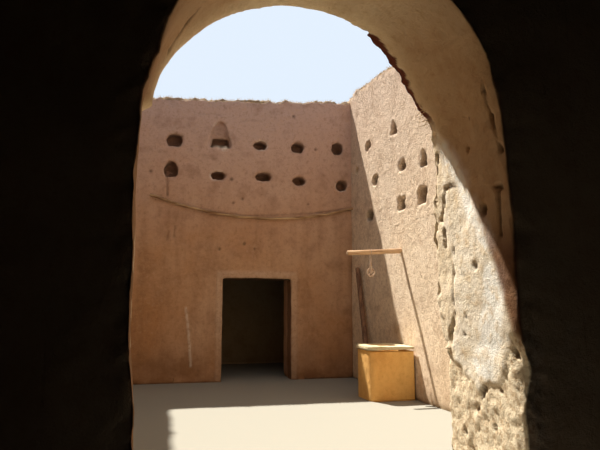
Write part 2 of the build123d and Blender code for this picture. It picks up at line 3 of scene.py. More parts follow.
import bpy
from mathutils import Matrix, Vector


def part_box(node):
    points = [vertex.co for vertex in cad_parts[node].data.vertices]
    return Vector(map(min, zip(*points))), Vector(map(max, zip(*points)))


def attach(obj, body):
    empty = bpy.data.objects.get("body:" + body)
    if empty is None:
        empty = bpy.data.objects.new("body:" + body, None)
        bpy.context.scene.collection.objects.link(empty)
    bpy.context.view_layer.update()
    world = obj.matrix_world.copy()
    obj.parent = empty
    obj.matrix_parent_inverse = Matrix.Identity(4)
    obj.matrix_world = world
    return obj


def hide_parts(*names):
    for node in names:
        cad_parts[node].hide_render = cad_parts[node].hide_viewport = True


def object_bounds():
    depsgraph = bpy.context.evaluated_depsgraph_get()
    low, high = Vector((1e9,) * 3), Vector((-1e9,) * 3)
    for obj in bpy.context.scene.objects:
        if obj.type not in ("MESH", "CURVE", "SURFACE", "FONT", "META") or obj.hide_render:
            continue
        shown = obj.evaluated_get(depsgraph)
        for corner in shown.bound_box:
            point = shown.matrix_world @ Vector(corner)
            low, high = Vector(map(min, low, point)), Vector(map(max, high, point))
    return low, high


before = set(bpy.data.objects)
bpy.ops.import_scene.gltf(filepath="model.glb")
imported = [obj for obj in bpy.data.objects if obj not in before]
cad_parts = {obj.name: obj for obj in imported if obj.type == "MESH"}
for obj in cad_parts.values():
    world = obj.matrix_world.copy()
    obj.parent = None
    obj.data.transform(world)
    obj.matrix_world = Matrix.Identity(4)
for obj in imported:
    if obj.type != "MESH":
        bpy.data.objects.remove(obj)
CAD_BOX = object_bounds()
CAD_LOW, CAD_HIGH = CAD_BOX

import math

import bmesh
import bpy
import numpy as np
from mathutils import Vector, kdtree

# Body that everything but the pulley wheel rides on
HOUSE = "house"

# Places read from the frame, in metres
RIGHT_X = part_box("right_wall_lower")[0][0]
(_, COURT_BACK_Y, _), (_, BACK_ROOM_Y, _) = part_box("back_wall_upper")
(ARCH_RIGHT_X, ARCH_ROOM_Y, _), (_, EDGING_Y, _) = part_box("arch_wall_right")
_, (ARCH_LEFT_X, ARCH_COURT_Y, SPRING_Z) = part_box("arch_wall_left")
FRONT_ROOM_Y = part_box("front_wall_left")[1][1]
REAR_ROOM_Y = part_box("rear_wall")[0][1]
CEILING_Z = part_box("front_roof_mat")[0][2]
DOOR_LOW, DOOR_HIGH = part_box("doorway_surround")
ARCH_X = (ARCH_LEFT_X + ARCH_RIGHT_X) / 2
ARCH_RADIUS = (ARCH_RIGHT_X - ARCH_LEFT_X) / 2
ARCH_QUARTER = ARCH_RADIUS * math.pi / 2

# Sizes of the cells that the walls are remeshed with
FINE_CELL = 0.017
NEST_CELL = 0.024
BACK_CELL = 0.06
SIDE_CELL = 0.07
OUTER_CELL = 0.08
ROOM_CELL = 0.09
WELL_CELL = 0.02
WOOD_CELL = 0.012

# Two pieces of a wall overlap by a few cells; each dips under the other from a little past the seam
SEAM_CELLS = 3.0
SEAM_START = 1.2
SEAM_TUCK = 0.02

# Blocks that are meshed finely: round the arch, round the doorway, and the bands with the nests
ARCH_BLOCK_X = (ARCH_LEFT_X - 0.3, ARCH_RIGHT_X + 0.36)
ARCH_BLOCK_Z = SPRING_Z + ARCH_RADIUS + 0.3
DOOR_BLOCK_X = (-0.95, DOOR_HIGH[0] + 0.12)
BACK_BAND_Z = 2.5
SIDE_BAND_Y = 0.9
SIDE_BAND_Z = 2.9
TOP_BAND_Z = 5.35
BAND_DEPTH = 0.37
BAND_BACKING = 0.34
BAND_TOP_SEAM = 0.27
# Beyond every side of the house, for boxes that have no limit there
FAR = 50.0
# How far the cross walls' surfaces run on into the side walls
BACK_WIDEN = 0.05
WIDEN = 0.06

# Camera: where the photographer stood in the front room, which way they faced, and the lens
EYE = (-1.57, -7.35, 1.53)
HEADING_DEG = 14.4
PITCH_DEG = 7.4
SENSOR_MM = 36.0
LENS_MM = 36.0

# Swells, ripples and grains of the mud, which are small on the wall that the sun grazes
PLAIN_RELIEF = (0.007, 0.003, 0.0)
BACK_RELIEF = (0.007, 0.003, 0.003)
ARCH_RELIEF = (0.007, 0.003, 0.002)
SIDE_RELIEF = (0.004, 0.0015, 0.0025)
WELL_RELIEF = (0.005, 0.003, 0.003)

# How much of the edging behind its crumbled front takes up what it lost
EDGING_SQUEEZE = 0.05
# How wide the doorway is between the two strips of its surround, and where its middle is
SURROUND_WIDTH = 0.13
DOOR_WIDTH = DOOR_HIGH[0] - DOOR_LOW[0] - 2 * SURROUND_WIDTH
DOOR_X = (DOOR_LOW[0] + DOOR_HIGH[0]) / 2

# Points this close to a face count as on it, and points lower than FOOT_Z stand on the ground
FACE_SLACK = 0.03
FOOT_Z = 0.02
# Walls that rise this far over the ceiling have a worn top, measured in short runs, with large
# bites, small chips and an even loss
PARAPET_RISE = 0.5
TOP_RUN = 0.12
TOP_BITE, TOP_CHIP, TOP_LOSS = 0.03, 0.02, 0.016
# How far the rooms' painted shade reaches up past the ceiling, and how dark it is in the back room
# and its doorway
SOOT_RISE = 0.2
BACK_ROOM_SOOT = 0.7
DOORWAY_SOOT = 0.5
# How deep a pock is, how high the thin ridge stands, and how deep the back wall's face goes
POCK_DEPTH = 0.014
RIDGE_HEIGHT = 0.01
BACK_FACE_DEPTH = 0.05
# A nest is looked for this far inside the edges of its band
NEST_MARGIN = 0.1

# Ramps, each as the value where it is 0 and the value where it is 1
SWELL_SPREAD = (0.2, 0.01)
SWELL_FADE = (0.55, 0.02)
DIP_FADE = (0.12, 0.0)
COURT_EDGE_FADE = (0.3, 0.05)
EDGING_REACH = (0.34, 0.24)
CRUMBLED_EDGE = (0.05, 0.0)
BARE_STRIP = (0.012, -0.012)
SMOKE_DEPTH = (-0.05, 0.25)
NEST_LUMPS = (0.1, 0.015)
SILL_SIDE = (0.03, -0.02)

# Light: the way that sunlight travels, and the strengths of sun and sky
SUN_TRAVEL = (0.48, -1.0, -1.93)
SUN_STRENGTH = 9.3
SUN_COLOR = (1.0, 0.95, 0.86)
SUN_SOFTNESS_DEG = 1.0
SKY_STRENGTH = 0.42
SKY_COLOR = (0.84, 0.91, 1.0)
SKY_SEEN = (0.78, 0.88, 1.0)

# Places on the arch's opening are given as the way round it, from its crown with the right side
# positive, and y. First, the way and how far the plaster stands inwards at the room's edge.
ROOM_EDGE = [
    (-3.5, 0.03), (-2.9, 0.045), (-2.76, 0.047), (-2.5, 0.017), (-2.1, 0.027), (-1.97, 0.017),
    (-1.83, 0.013), (-1.69, 0.017), (-1.55, 0.022), (-1.4, 0.029), (-1.33, 0.047), (-1.2, 0.06),
    (-0.9, 0.033), (0.0, 0.03), (0.85, 0.037), (1.03, 0.042), (1.17, 0.064), (1.4, 0.055),
    (1.6, 0.043), (1.98, 0.018), (2.2, 0.02), (2.4, 0.012), (2.52, 0.0), (2.57, -0.015),
    (2.64, -0.04), (2.7, -0.045), (2.77, -0.022), (2.85, -0.006), (2.95, -0.015), (3.1, -0.02),
    (3.9, -0.02),
]
# The same at the court's edge, where the plaster hangs down on the left
COURT_EDGE = [
    (-1.26, 0.0), (-1.215, 0.05), (-1.15, 0.034), (-1.04, 0.02), (-0.8, 0.01), (-0.5, 0.0),
]
# Way round, and how much of the mud edging has crumbled off its front
EDGING_LOSS = [
    (0.45, 0.15), (0.6, 0.09), (0.75, 0.04), (0.9, 0.0), (1.03, 0.0), (1.11, 0.01), (1.19, 0.09),
    (1.28, 0.06), (1.39, 0.04), (1.56, 0.05), (1.72, 0.02), (1.88, 0.0), (1.98, 0.02),
    (2.13, 0.035), (2.28, 0.035), (2.36, 0.06), (2.48, 0.11), (2.6, 0.17),
]
# The edging's ends on the way round, and how short they are
EDGING_WAY = (0.46, 2.61)
EDGING_END = 0.02
# Cracks and gaps in the plaster of the opening, with width and depth; each gets painted shade
CRACKS = [
    ([(1.631, -4.13), (1.614, -4.074), (1.624, -4.01)], 0.0, 0.008),
    ([(1.624, -4.01), (1.682, -3.983), (1.743, -3.97), (1.802, -3.943), (1.811, -3.888),
      (1.854, -3.851)], 0.006, 0.03),
    ([(1.77, -3.841), (1.87, -3.843), (1.967, -3.848)], 0.016, 0.05),
    ([(1.885, -3.977), (1.963, -3.978)], 0.016, 0.05),
    ([(1.4, -3.91), (1.456, -3.897), (1.532, -3.871), (1.595, -3.853),
      (1.663, -3.873)], 0.012, 0.04),
    ([(2.0, -4.09), (2.033, -4.087), (2.152, -4.073), (2.286, -4.07), (2.36, -4.077),
      (2.448, -4.05)], 0.0, 0.016),
    ([(2.448, -4.05), (2.509, -4.006), (2.584, -3.995)], 0.008, 0.035),
    ([(2.78, -4.38), (2.84, -4.33), (2.91, -4.28)], 0.0, 0.012),
    ([(-0.7, -4.3), (-0.77, -4.21), (-0.82, -4.16), (-0.92, -4.11)], 0.008, 0.025),
    ([(1.13, -4.63), (1.27, -4.62), (1.36, -4.64), (1.54, -4.69)], 0.004, 0.02),
    ([(1.72, -4.59), (1.73, -4.66)], 0.005, 0.015),
    ([(1.73, -4.63), (1.87, -4.62), (1.98, -4.62)], 0.005, 0.015),
]
# Pits in the same plaster, as way round, y, radius and depth
PITS = [
    (1.434, -4.295, 0.01, 0.02), (1.28, -4.38, 0.008, 0.01), (1.82, -4.466, 0.038, 0.03),
    (2.12, -4.34, 0.03, 0.012), (2.1, -4.37, 0.012, 0.02), (2.575, -4.66, 0.018, 0.02),
    (2.546, -4.726, 0.015, 0.02), (2.78, -4.52, 0.01, 0.015), (2.16, -4.2, 0.008, 0.012),
    (2.4, -4.21, 0.008, 0.012), (2.5, -4.18, 0.008, 0.012), (3.2, -4.3, 0.015, 0.02),
    (3.32, -4.52, 0.018, 0.02), (3.05, -4.14, 0.014, 0.02), (2.98, -4.45, 0.012, 0.015),
    (3.45, -4.2, 0.02, 0.02),
]
# Where whitish plaster is left on the right jamb, as lines with a half width
PALE_PATCHES = [
    ([(1.38, -4.02), (1.65, -4.22), (1.85, -4.37), (2.02, -4.5)], 0.075),
    ([(2.2, -4.54), (2.4, -4.48), (2.64, -4.38)], 0.115),
]
# Upper edge of the fallen plaster at the foot of the right jamb, as y and way round
FALLEN_EDGE = [
    (-4.75, 2.46), (-4.66, 2.49), (-4.59, 2.6), (-4.54, 2.74), (-4.42, 2.75), (-4.34, 2.84),
    (-4.08, 2.65), (-3.95, 2.6),
]
# Width of the bare strip along the court's arris, as way round and width
BARE_ARRIS = [
    (0.4, 0.0), (0.5, 0.07), (1.15, 0.08), (1.25, 0.08), (1.5, 0.12), (1.95, 0.13), (2.02, 0.24),
    (2.4, 0.23), (2.56, 0.08), (2.66, 0.04), (3.9, 0.03),
]
# Lower edge of the painted shade on the right jamb, along the sun's shadow edge, as way round and
# y, and how dark the painted shade is on the way
SMOKE_EDGE = [
    (1.166, -3.9), (1.341, -4.02), (1.514, -4.15), (1.704, -4.28), (1.893, -4.4), (2.135, -4.53),
    (2.475, -4.66),
]
SMOKE = [
    (-2.6, 0.9), (-1.4, 0.85), (-0.6, 0.6), (0.0, 0.05), (0.7, 0.5), (1.3, 0.55), (1.9, 0.6),
    (2.1, 0.9), (2.48, 0.9), (2.56, 0.0), (3.9, 0.0),
]
# Cracks and scratches on the court's back wall, as lines of x and z with a width, a depth and how
# dark their painted shade is, and a thin ridge on it
WALL_MARKS = [
    ([(-1.22, 4.05), (-1.2, 3.66)], 0.01, 0.02, 0.6),
    ([(-0.55, 4.49), (-0.26, 4.5)], 0.004, 0.004, 0.15),
    ([(-0.53, 4.44), (-0.22, 4.44)], 0.004, 0.004, 0.15),
    ([(-0.59, 5.35), (-0.37, 5.38), (-0.17, 5.37)], 0.006, 0.006, 0.15),
    ([(0.27, 5.27), (0.5, 5.31), (0.68, 5.3)], 0.006, 0.006, 0.15),
    ([(-0.34, 3.29), (0.26, 3.29), (1.01, 3.33), (1.75, 3.4), (2.47, 3.5)], 0.006, 0.006, 0.4),
    ([(-1.04, 3.03), (-1.05, 2.82)], 0.008, 0.008, 0.4),
    ([(-1.16, 2.92), (-1.18, 2.76)], 0.008, 0.008, 0.4),
]
WALL_RIDGE = [(-0.79, 1.43), (-0.74, 1.08), (-0.7, 0.71), (-0.67, 0.32)]
# Pocks in the same wall, as x, z and radius
POCKS = [
    (1.86, 4.78, 0.022), (0.07, 4.04, 0.035), (0.11, 3.55, 0.022), (0.3, 3.64, 0.025),
    (0.35, 2.72, 0.028), (1.69, 3.59, 0.018), (-1.54, 4.12, 0.025), (1.37, 5.47, 0.025),
    (0.56, 2.62, 0.016), (-0.15, 2.6, 0.016),
]
# The whitish mud that has slid to the foot of the tall niche, and how high it lies there
SILL_X = (-0.3, -0.03)
SILL_Z = (4.63, 4.8)
SILL_RISE = 0.055

# Straw: a stalk's length and radius, its belt on a wall's top, and its length at the haunch
STALK_LENGTH = 0.055
STALK_RADIUS = 0.0025
STALK_BELT = 0.16
TUFT_LENGTH = 0.08

# The noise's hash: a factor for each axis and for the seed, and shifts with their factors
HASH_AXES = np.array([73856093, 19349663, 83492791])
HASH_SEED = 2654435761
HASH_ROUNDS = ((15, 2246822519), (13, 3266489917))
HASH_MASK = 0xFFFFFFFF


def value_noise(points, cell, seed):
    """Smooth noise from -1 to 1 at an array of points; cell is its grain, one size or three."""
    grid = points / np.asarray(cell, float)
    base = np.floor(grid).astype(np.int64)
    blend = grid - base
    blend = blend * blend * (3 - 2 * blend)
    total = np.zeros(len(points))
    for corner in range(8):
        step = np.array([corner & 1, (corner >> 1) & 1, (corner >> 2) & 1])
        key = (((base + step) * HASH_AXES).sum(axis=1) + seed * HASH_SEED) & HASH_MASK
        for shift, factor in HASH_ROUNDS:
            key = ((key ^ (key >> shift)) * factor) & HASH_MASK
        value = ((key ^ (key >> 16)) & 0xFFFF) / 32767.5 - 1
        share = np.where(step == 1, blend, 1 - blend).prod(axis=1)
        total += share * value
    return total


def layered_noise(points, cell, seed, layers=3):
    """Several sizes of noise added up, each half as large and half as strong as the one before."""
    total = np.zeros(len(points))
    for i in range(layers):
        total += value_noise(points, np.asarray(cell, float) / 2**i, seed + 17 * i) / 2**i
    return total


def fade(low, high, values):
    """0 at low, 1 at high, and a smooth ramp between; low may be the larger."""
    share = np.clip((values - low) / (high - low), 0, 1)
    return share * share * (3 - 2 * share)


def placed(name, data):
    """A new object in the scene."""
    item = bpy.data.objects.new(name, data)
    bpy.context.collection.objects.link(item)
    return item


def points_of(mesh):
    """A mesh's points as an array."""
    flat = np.empty(len(mesh.vertices) * 3)
    mesh.vertices.foreach_get("co", flat)
    return flat.reshape(-1, 3)


def normals_of(mesh):
    """A mesh's point normals as an array."""
    flat = np.empty(len(mesh.vertices) * 3)
    mesh.vertex_normals.foreach_get("vector", flat)
    return flat.reshape(-1, 3)


def set_points(mesh, points):
    """Write an array of points back to a mesh."""
    mesh.vertices.foreach_set("co", points.ravel())
    mesh.update()


def set_look(mesh, name, values):
    """Keep 0 to 1 values at a mesh's points under a name, for its material to read."""
    layer = mesh.attributes.new(name, "FLOAT", "POINT")
    layer.data.foreach_set("value", np.clip(values, 0, 1).astype(np.float32))


def smoothed(mesh, points, rounds):
    """Points moved towards the middle of their neighbours, which rounds edges and leaves flats."""
    pairs = np.empty(len(mesh.edges) * 2, np.int64)
    mesh.edges.foreach_get("vertices", pairs)
    pairs = pairs.reshape(-1, 2)
    ends = np.concatenate([pairs[:, 0], pairs[:, 1]])
    others = np.concatenate([pairs[:, 1], pairs[:, 0]])
    count = np.bincount(ends, minlength=len(points))[:, None]
    for _ in range(rounds):
        sums = [np.bincount(ends, points[others, i], len(points)) for i in range(3)]
        points = 0.5 * points + 0.5 * np.stack(sums, axis=1) / np.maximum(count, 1)
    return points


def cut_box(shape, low, high):
    """Keep only what lies between two corners, and close the cuts."""
    for axis in range(3):
        for limit, side in ((low[axis], -1), (high[axis], 1)):
            place, normal = Vector(), Vector()
            place[axis], normal[axis] = limit, side
            everything = shape.verts[:] + shape.edges[:] + shape.faces[:]
            bmesh.ops.bisect_plane(
                shape, geom=everything, plane_co=place, plane_no=normal, clear_outer=True
            )
            open_edges = [edge for edge in shape.edges if edge.is_boundary]
            if open_edges:
                bmesh.ops.holes_fill(shape, edges=open_edges, sides=0)


def shell(name, nodes, cell, boxes=None, widen=0.0):
    """One even closed surface round several nodes' solids, or round their parts in some boxes."""
    whole = bpy.data.meshes.new(name)
    joined = bmesh.new()
    for node in nodes:
        for box in boxes or [None]:
            part = bmesh.new()
            part.from_mesh(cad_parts[node].data)
            bmesh.ops.remove_doubles(part, verts=part.verts, dist=1e-5)
            if box:
                cut_box(part, *box)
            part.to_mesh(whole)
            part.free()
            joined.from_mesh(whole)
    if widen:
        for vert in joined.verts:
            if abs(vert.co.x) > RIGHT_X - 0.001:
                vert.co.x += math.copysign(widen, vert.co.x)
    joined.to_mesh(whole)
    joined.free()
    piece = placed(name, whole)
    even = piece.modifiers.new("even", "REMESH")
    even.mode = "VOXEL"
    even.voxel_size = cell
    remeshed = piece.evaluated_get(bpy.context.evaluated_depsgraph_get())
    made = bpy.data.meshes.new_from_object(remeshed)
    piece.modifiers.clear()
    piece.data = made
    for polygon in made.polygons:
        polygon.use_smooth = True
    return piece


def reach(cell):
    """How far a piece of this cell size runs on past its seams."""
    return SEAM_CELLS * cell


def wall_relief(points, swell, ripple, grain):
    """How far hand-laid mud stands off the flat at each point, mostly inwards."""
    relief = 0.013 * layered_noise(points, 1.3, 1, 2)
    relief += swell * layered_noise(points, 0.32, 5, 2)
    relief += ripple * layered_noise(points, 0.1, 9, 2)
    relief += grain * layered_noise(points, 0.05, 13, 2)
    return relief - 0.012


def tops_at(points, along):
    """The height of a wall's top over each point, taken from the wall's points along one axis."""
    runs = np.floor((points[:, along] - points[:, along].min()) / TOP_RUN).astype(int)
    highest = np.full(runs.max() + 1, -1.0)
    np.maximum.at(highest, runs, points[:, 2])
    return highest[runs]


def ragged_top(points, normals, moved, tops):
    """Extra wear near the tops of the walls."""
    near = fade(0.22, 0.02, tops - points[:, 2])
    bites = (
        TOP_BITE * layered_noise(points, 0.2, 31, 2)
        + TOP_CHIP * layered_noise(points, 0.07, 35, 2)
        - TOP_LOSS
    )
    moved[:, 2] += near * np.maximum(normals[:, 2], 0.25) * bites * 1.5
    moved[:, :2] += normals[:, :2] * (near * bites)[:, None]
    return moved


def in_a_room(points):
    """1 inside the front room and less in the back one: painted shade on the rooms' walls."""
    x, y, z = points.T
    front = (y > FRONT_ROOM_Y - FACE_SLACK) & (y < ARCH_ROOM_Y + FACE_SLACK)
    back = (y > BACK_ROOM_Y - FACE_SLACK) & (y < REAR_ROOM_Y + FACE_SLACK)
    within = (np.abs(x) < RIGHT_X + FACE_SLACK) & (z < CEILING_Z + SOOT_RISE)
    return (front + BACK_ROOM_SOOT * back) * within


def outside_of(points):
    """1 on the house's outer faces, 0 on the faces towards the court and the rooms."""
    x, y, _ = points.T
    beyond = np.maximum(np.maximum(np.abs(x) - RIGHT_X, FRONT_ROOM_Y - y), y - REAR_ROOM_Y)
    return fade(0.15, 0.4, beyond)


def buried(points, regions, cell):
    """0 to 1 as points go in under a neighbour, in any of some regions, each a list of limits."""
    most = np.zeros(len(points))
    for region in regions:
        depth = np.minimum.reduce([side * (points[:, i] - limit) for i, limit, side in region])
        most = np.maximum(most, fade(SEAM_START * cell, SEAM_CELLS * cell, depth))
    return most


def weathered(piece, along, cell, rounds=1, relief=PLAIN_RELIEF, tucks=(), extra=None):
    """Round a wall's edges, lay its relief on it, wear its top and tuck it in past its seams."""
    mesh = piece.data
    points = smoothed(mesh, points_of(mesh), rounds)
    set_points(mesh, points)
    normals = normals_of(mesh)
    tops = tops_at(points, along)
    moved = points + normals * wall_relief(points, *relief)[:, None]
    looks = {
        "low": fade(1.0, 0.0, points[:, 2]),
        # Painted shade inside the rooms
        "soot": in_a_room(points),
        "outside": outside_of(points),
        # Up-facing tops above the ceiling: a weathered crust, darkened also as painted shade where
        # the sun falls most
        "top": fade(0.35, 0.75, normals[:, 2]) * (points[:, 2] > CEILING_Z),
    }
    if extra:
        moved = extra(points, normals, moved, looks)
    if tops.max() > CEILING_Z + PARAPET_RISE:
        moved = ragged_top(points, normals, moved, tops)
    moved -= normals * (SEAM_TUCK * buried(points, tucks, cell))[:, None]
    moved[points[:, 2] < FOOT_Z, 2] = 0.0
    set_points(mesh, np.clip(moved, CAD_LOW, CAD_HIGH))
    for name, values in looks.items():
        set_look(mesh, name, values)
    return piece


def distance_to_line(places, line):
    """The distance from each of an array of flat places to a line of straight runs."""
    best = np.full(len(places), 1e9)
    for start, end in zip(line, line[1:]):
        start, end = np.array(start), np.array(end)
        run = end - start
        share = np.clip(((places - start) @ run) / (run @ run), 0, 1)
        best = np.minimum(best, np.linalg.norm(places - start - share[:, None] * run, axis=1))
    return best


def along_list(values, pairs):
    """Values read off a list of pairs, with straight runs between them."""
    first, second = zip(*pairs)
    return np.interp(values, first, second)


def round_the_arch(points):
    """The way round the opening, the depth behind its surface, and the direction to its middle."""
    across = points[:, 0] - ARCH_X
    above = points[:, 2] - SPRING_Z
    in_head = above > 0
    way = np.where(in_head, ARCH_RADIUS * np.arctan2(np.abs(across), above), ARCH_QUARTER - above)
    ring = np.hypot(across, np.where(in_head, above, 0))
    inward = -np.stack([across, np.zeros(len(points)), np.where(in_head, above, 0)], axis=1)
    return np.sign(across) * way, ring - ARCH_RADIUS, inward / np.maximum(ring, 1e-6)[:, None]


def in_mark(gap, width, blur, core=0.4):
    """1 in the core of a line or hole, 0 past its blurred side, by the distance from its middle."""
    return fade(width + blur, width * core, gap)


def arch_wear(points, normals, moved, looks):
    """Swollen, broken, cracked and fallen plaster round the arch's opening, with painted shade and
    sunlight.
    """
    way, behind, inward = round_the_arch(points)
    y = points[:, 1]
    from_room = y - ARCH_ROOM_Y
    wobble = value_noise(points, 0.05, 41)
    rough = layered_noise(points, 0.07, 53, 3)
    on_opening = fade(0.035, 0.01, np.abs(behind))
    near_opening = fade(0.16, 0.06, np.abs(behind))
    right = fade(0.1, 0.3, way)

    # The edging has crumbled back from its front
    first, last = EDGING_WAY
    edging = fade(first - EDGING_END, first, way) * fade(last + EDGING_END, last, way)
    loss = along_list(way, EDGING_LOSS) + 0.012 * rough
    start = EDGING_Y - loss - EDGING_SQUEEZE
    past_start = np.maximum(y - start, 0)
    squeezed = past_start * EDGING_SQUEEZE / (EDGING_SQUEEZE + np.maximum(loss, 0))
    moved[:, 1] += edging * fade(*EDGING_REACH, behind) * (squeezed - past_start)
    edge_y = np.where(edging > 0.5, EDGING_Y - loss, ARCH_COURT_Y)
    from_edge = np.maximum(edge_y - y, 0)

    # The plaster thickens towards the room, is broken off at its foot, and hangs at the court
    swell = along_list(way, ROOM_EDGE)
    swell *= np.where(swell > 0, fade(*SWELL_FADE, from_room), fade(*DIP_FADE, from_room))
    swell += along_list(way, COURT_EDGE) * fade(*COURT_EDGE_FADE, ARCH_COURT_Y - y)
    moved = moved + inward * (fade(*SWELL_SPREAD, np.abs(behind)) * swell)[:, None]

    # Bare mud where the plaster is gone
    arris = along_list(way, BARE_ARRIS) * right
    strip = fade(*BARE_STRIP, from_edge - arris - 0.02 * rough) * (arris > 0.003)
    fallen = fade(-0.02, 0.02, way - along_list(y, FALLEN_EDGE) - 0.035 * rough) * right
    bare = np.maximum(0.5 * strip, fallen) * near_opening
    crumbs = layered_noise(points, 0.032, 57, 2)
    wear = bare * (0.008 + 0.003 * rough + 0.007 * crumbs)
    court_edge = fade(*CRUMBLED_EDGE, from_edge)
    room_edge = fade(*CRUMBLED_EDGE, from_room)
    wear += 0.012 * near_opening * court_edge * (0.5 + rough) * right
    wear += 0.01 * near_opening * room_edge * (0.6 + rough)

    # Cracks and pits, with painted shade in them
    places = np.stack([way, y], axis=1)
    crack = np.zeros(len(points))
    for line, width, depth in CRACKS:
        gap = distance_to_line(places, line) + 0.012 * wobble
        mark = on_opening * in_mark(gap, width, 0.012)
        wear += depth * mark
        crack = np.maximum(crack, mark)
    for pit_way, pit_y, radius, depth in PITS:
        gap = np.hypot(way - pit_way, y - pit_y) + 0.01 * wobble
        mark = on_opening * in_mark(gap, radius, 0.008)
        wear += depth * mark
        crack = np.maximum(crack, mark * 0.8)
    moved = moved - normals * wear[:, None]

    # Colours: whitish plaster and painted sunlight where the sun falls, painted shade towards the
    # room and past the shadow's edge, red-brown mud with painted shade at the haunch
    pale = np.zeros(len(points))
    for line, width in PALE_PATCHES:
        gap = distance_to_line(places, line) + 0.03 * layered_noise(points, 0.12, 67, 2)
        pale = np.maximum(pale, fade(width + 0.03, width - 0.03, gap))
    # Painted shade that deepens away from the court's edge, kept off the jamb where the sun falls
    smoke_y = along_list(way, SMOKE_EDGE)
    smoke_start = SMOKE_EDGE[0][0]
    sunlit = fade(smoke_start - 0.15, smoke_start, way)
    sunlit *= fade(smoke_y - 0.06, smoke_y + 0.02, y)
    smoke = fade(*SMOKE_DEPTH, from_edge) * along_list(way, SMOKE) * (1 - sunlit)
    # Faces towards the front room get painted shade
    facing_room = fade(-0.55, -0.8, normals[:, 1]) * (from_room < 0.1)
    at_haunch = fade(0.3, 0.5, way) * fade(1.25, 1.1, way)
    # Whitish plaster patches, and painted sunlight that whitens the jamb where the sun falls
    looks["pale"] = np.maximum(pale, 0.55 * sunlit) * (1 - 0.6 * bare) * near_opening
    looks["bare"] = bare
    looks["crack"] = crack
    looks["smoke"] = smoke * on_opening
    # More painted shade low on the right jamb, past the sun's shadow edge
    sooty = 0.7 * looks["smoke"] * fade(1.7, 2.1, way)
    looks["soot"] = np.maximum.reduce([looks["soot"], facing_room, sooty])
    # Red-brown bare mud at the haunch, made darker as painted shade
    looks["red"] = at_haunch * strip * near_opening
    # Faces towards the sun, away from the opening, get the outer walls' darker tone as painted
    # shade
    looks["outside"] = np.maximum(looks["outside"], facing_the_sun(normals) * (1 - near_opening))
    return moved


def facing_the_sun(normals):
    """1 on faces towards the back of the house, where the sun stands."""
    return fade(0.4, 0.8, normals[:, 1])


def sunny_side(points, normals, moved, looks):
    """Faces towards the back of the house, where the sun stands, get the outer walls' darker tone
    as painted shade.
    """
    looks["outside"] = np.maximum(looks["outside"], facing_the_sun(normals))
    return moved


def back_marks(points, normals, moved, looks):
    """Cracks, scratches, pocks and a thin ridge on the court's back wall, with painted shade in
    them and the doorway.
    """
    x, y, z = points.T
    front = (y < COURT_BACK_Y + BACK_FACE_DEPTH).astype(float)
    places = points[:, [0, 2]]
    wobble = value_noise(points, 0.06, 43)
    mark = np.zeros(len(points))
    wear = np.zeros(len(points))
    for line, width, depth, dark in WALL_MARKS:
        near = in_mark(distance_to_line(places, line) + 0.014 * wobble, width, 0.022, 0.5)
        wear += depth * near
        mark = np.maximum(mark, dark * near)
    for pock_x, pock_z, radius in POCKS:
        near = in_mark(np.hypot(x - pock_x, z - pock_z) + 0.012 * wobble, radius, 0.02)
        wear += POCK_DEPTH * near
        mark = np.maximum(mark, 0.8 * near)
    ridge = fade(0.035, 0.008, distance_to_line(places, WALL_RIDGE))
    band = fade(0.17, 0.1, np.abs(x - DOOR_X) - DOOR_WIDTH / 2)
    band *= fade(DOOR_HIGH[2] + 0.05, DOOR_HIGH[2] - 0.03, z)
    pale = front * np.maximum(0.35 * ridge, 0.1 * band)
    inside_way = (y > COURT_BACK_Y + BACK_FACE_DEPTH) & (z < DOOR_HIGH[2])
    looks["crack"] = front * mark
    looks["pale"] = np.maximum(looks.get("pale", 0), pale)
    # The doorway's passage gets painted shade, brown and dark
    looks["smoke"] = DOORWAY_SOOT * inside_way
    looks["soot"] = np.maximum(looks["soot"], DOORWAY_SOOT * inside_way)
    return moved - normals * (front * (wear - RIDGE_HEIGHT * ridge))[:, None]


def between(values, limits):
    """1 between two limits, 0 a little past them."""
    low, high = limits
    return fade(*SILL_SIDE, np.abs(values - (low + high) / 2) - (high - low) / 2)


def mud_sill(points, normals, moved, looks):
    """Whitish mud that fills the foot of the tall niche."""
    in_sill = between(points[:, 0], SILL_X) * between(points[:, 2], SILL_Z)
    facing_up = fade(0.1, 0.5, normals[:, 2])
    uneven = 0.8 + 0.6 * value_noise(points, 0.07, 97)
    moved[:, 2] += SILL_RISE * in_sill * facing_up * uneven
    lime = fade(-0.5, 0.1, layered_noise(points, 0.08, 95, 2))
    looks["nest"] *= 1 - in_sill * facing_up
    looks["pale"] = np.maximum(looks["pale"], 0.8 * in_sill * lime * (normals[:, 2] > -0.3))


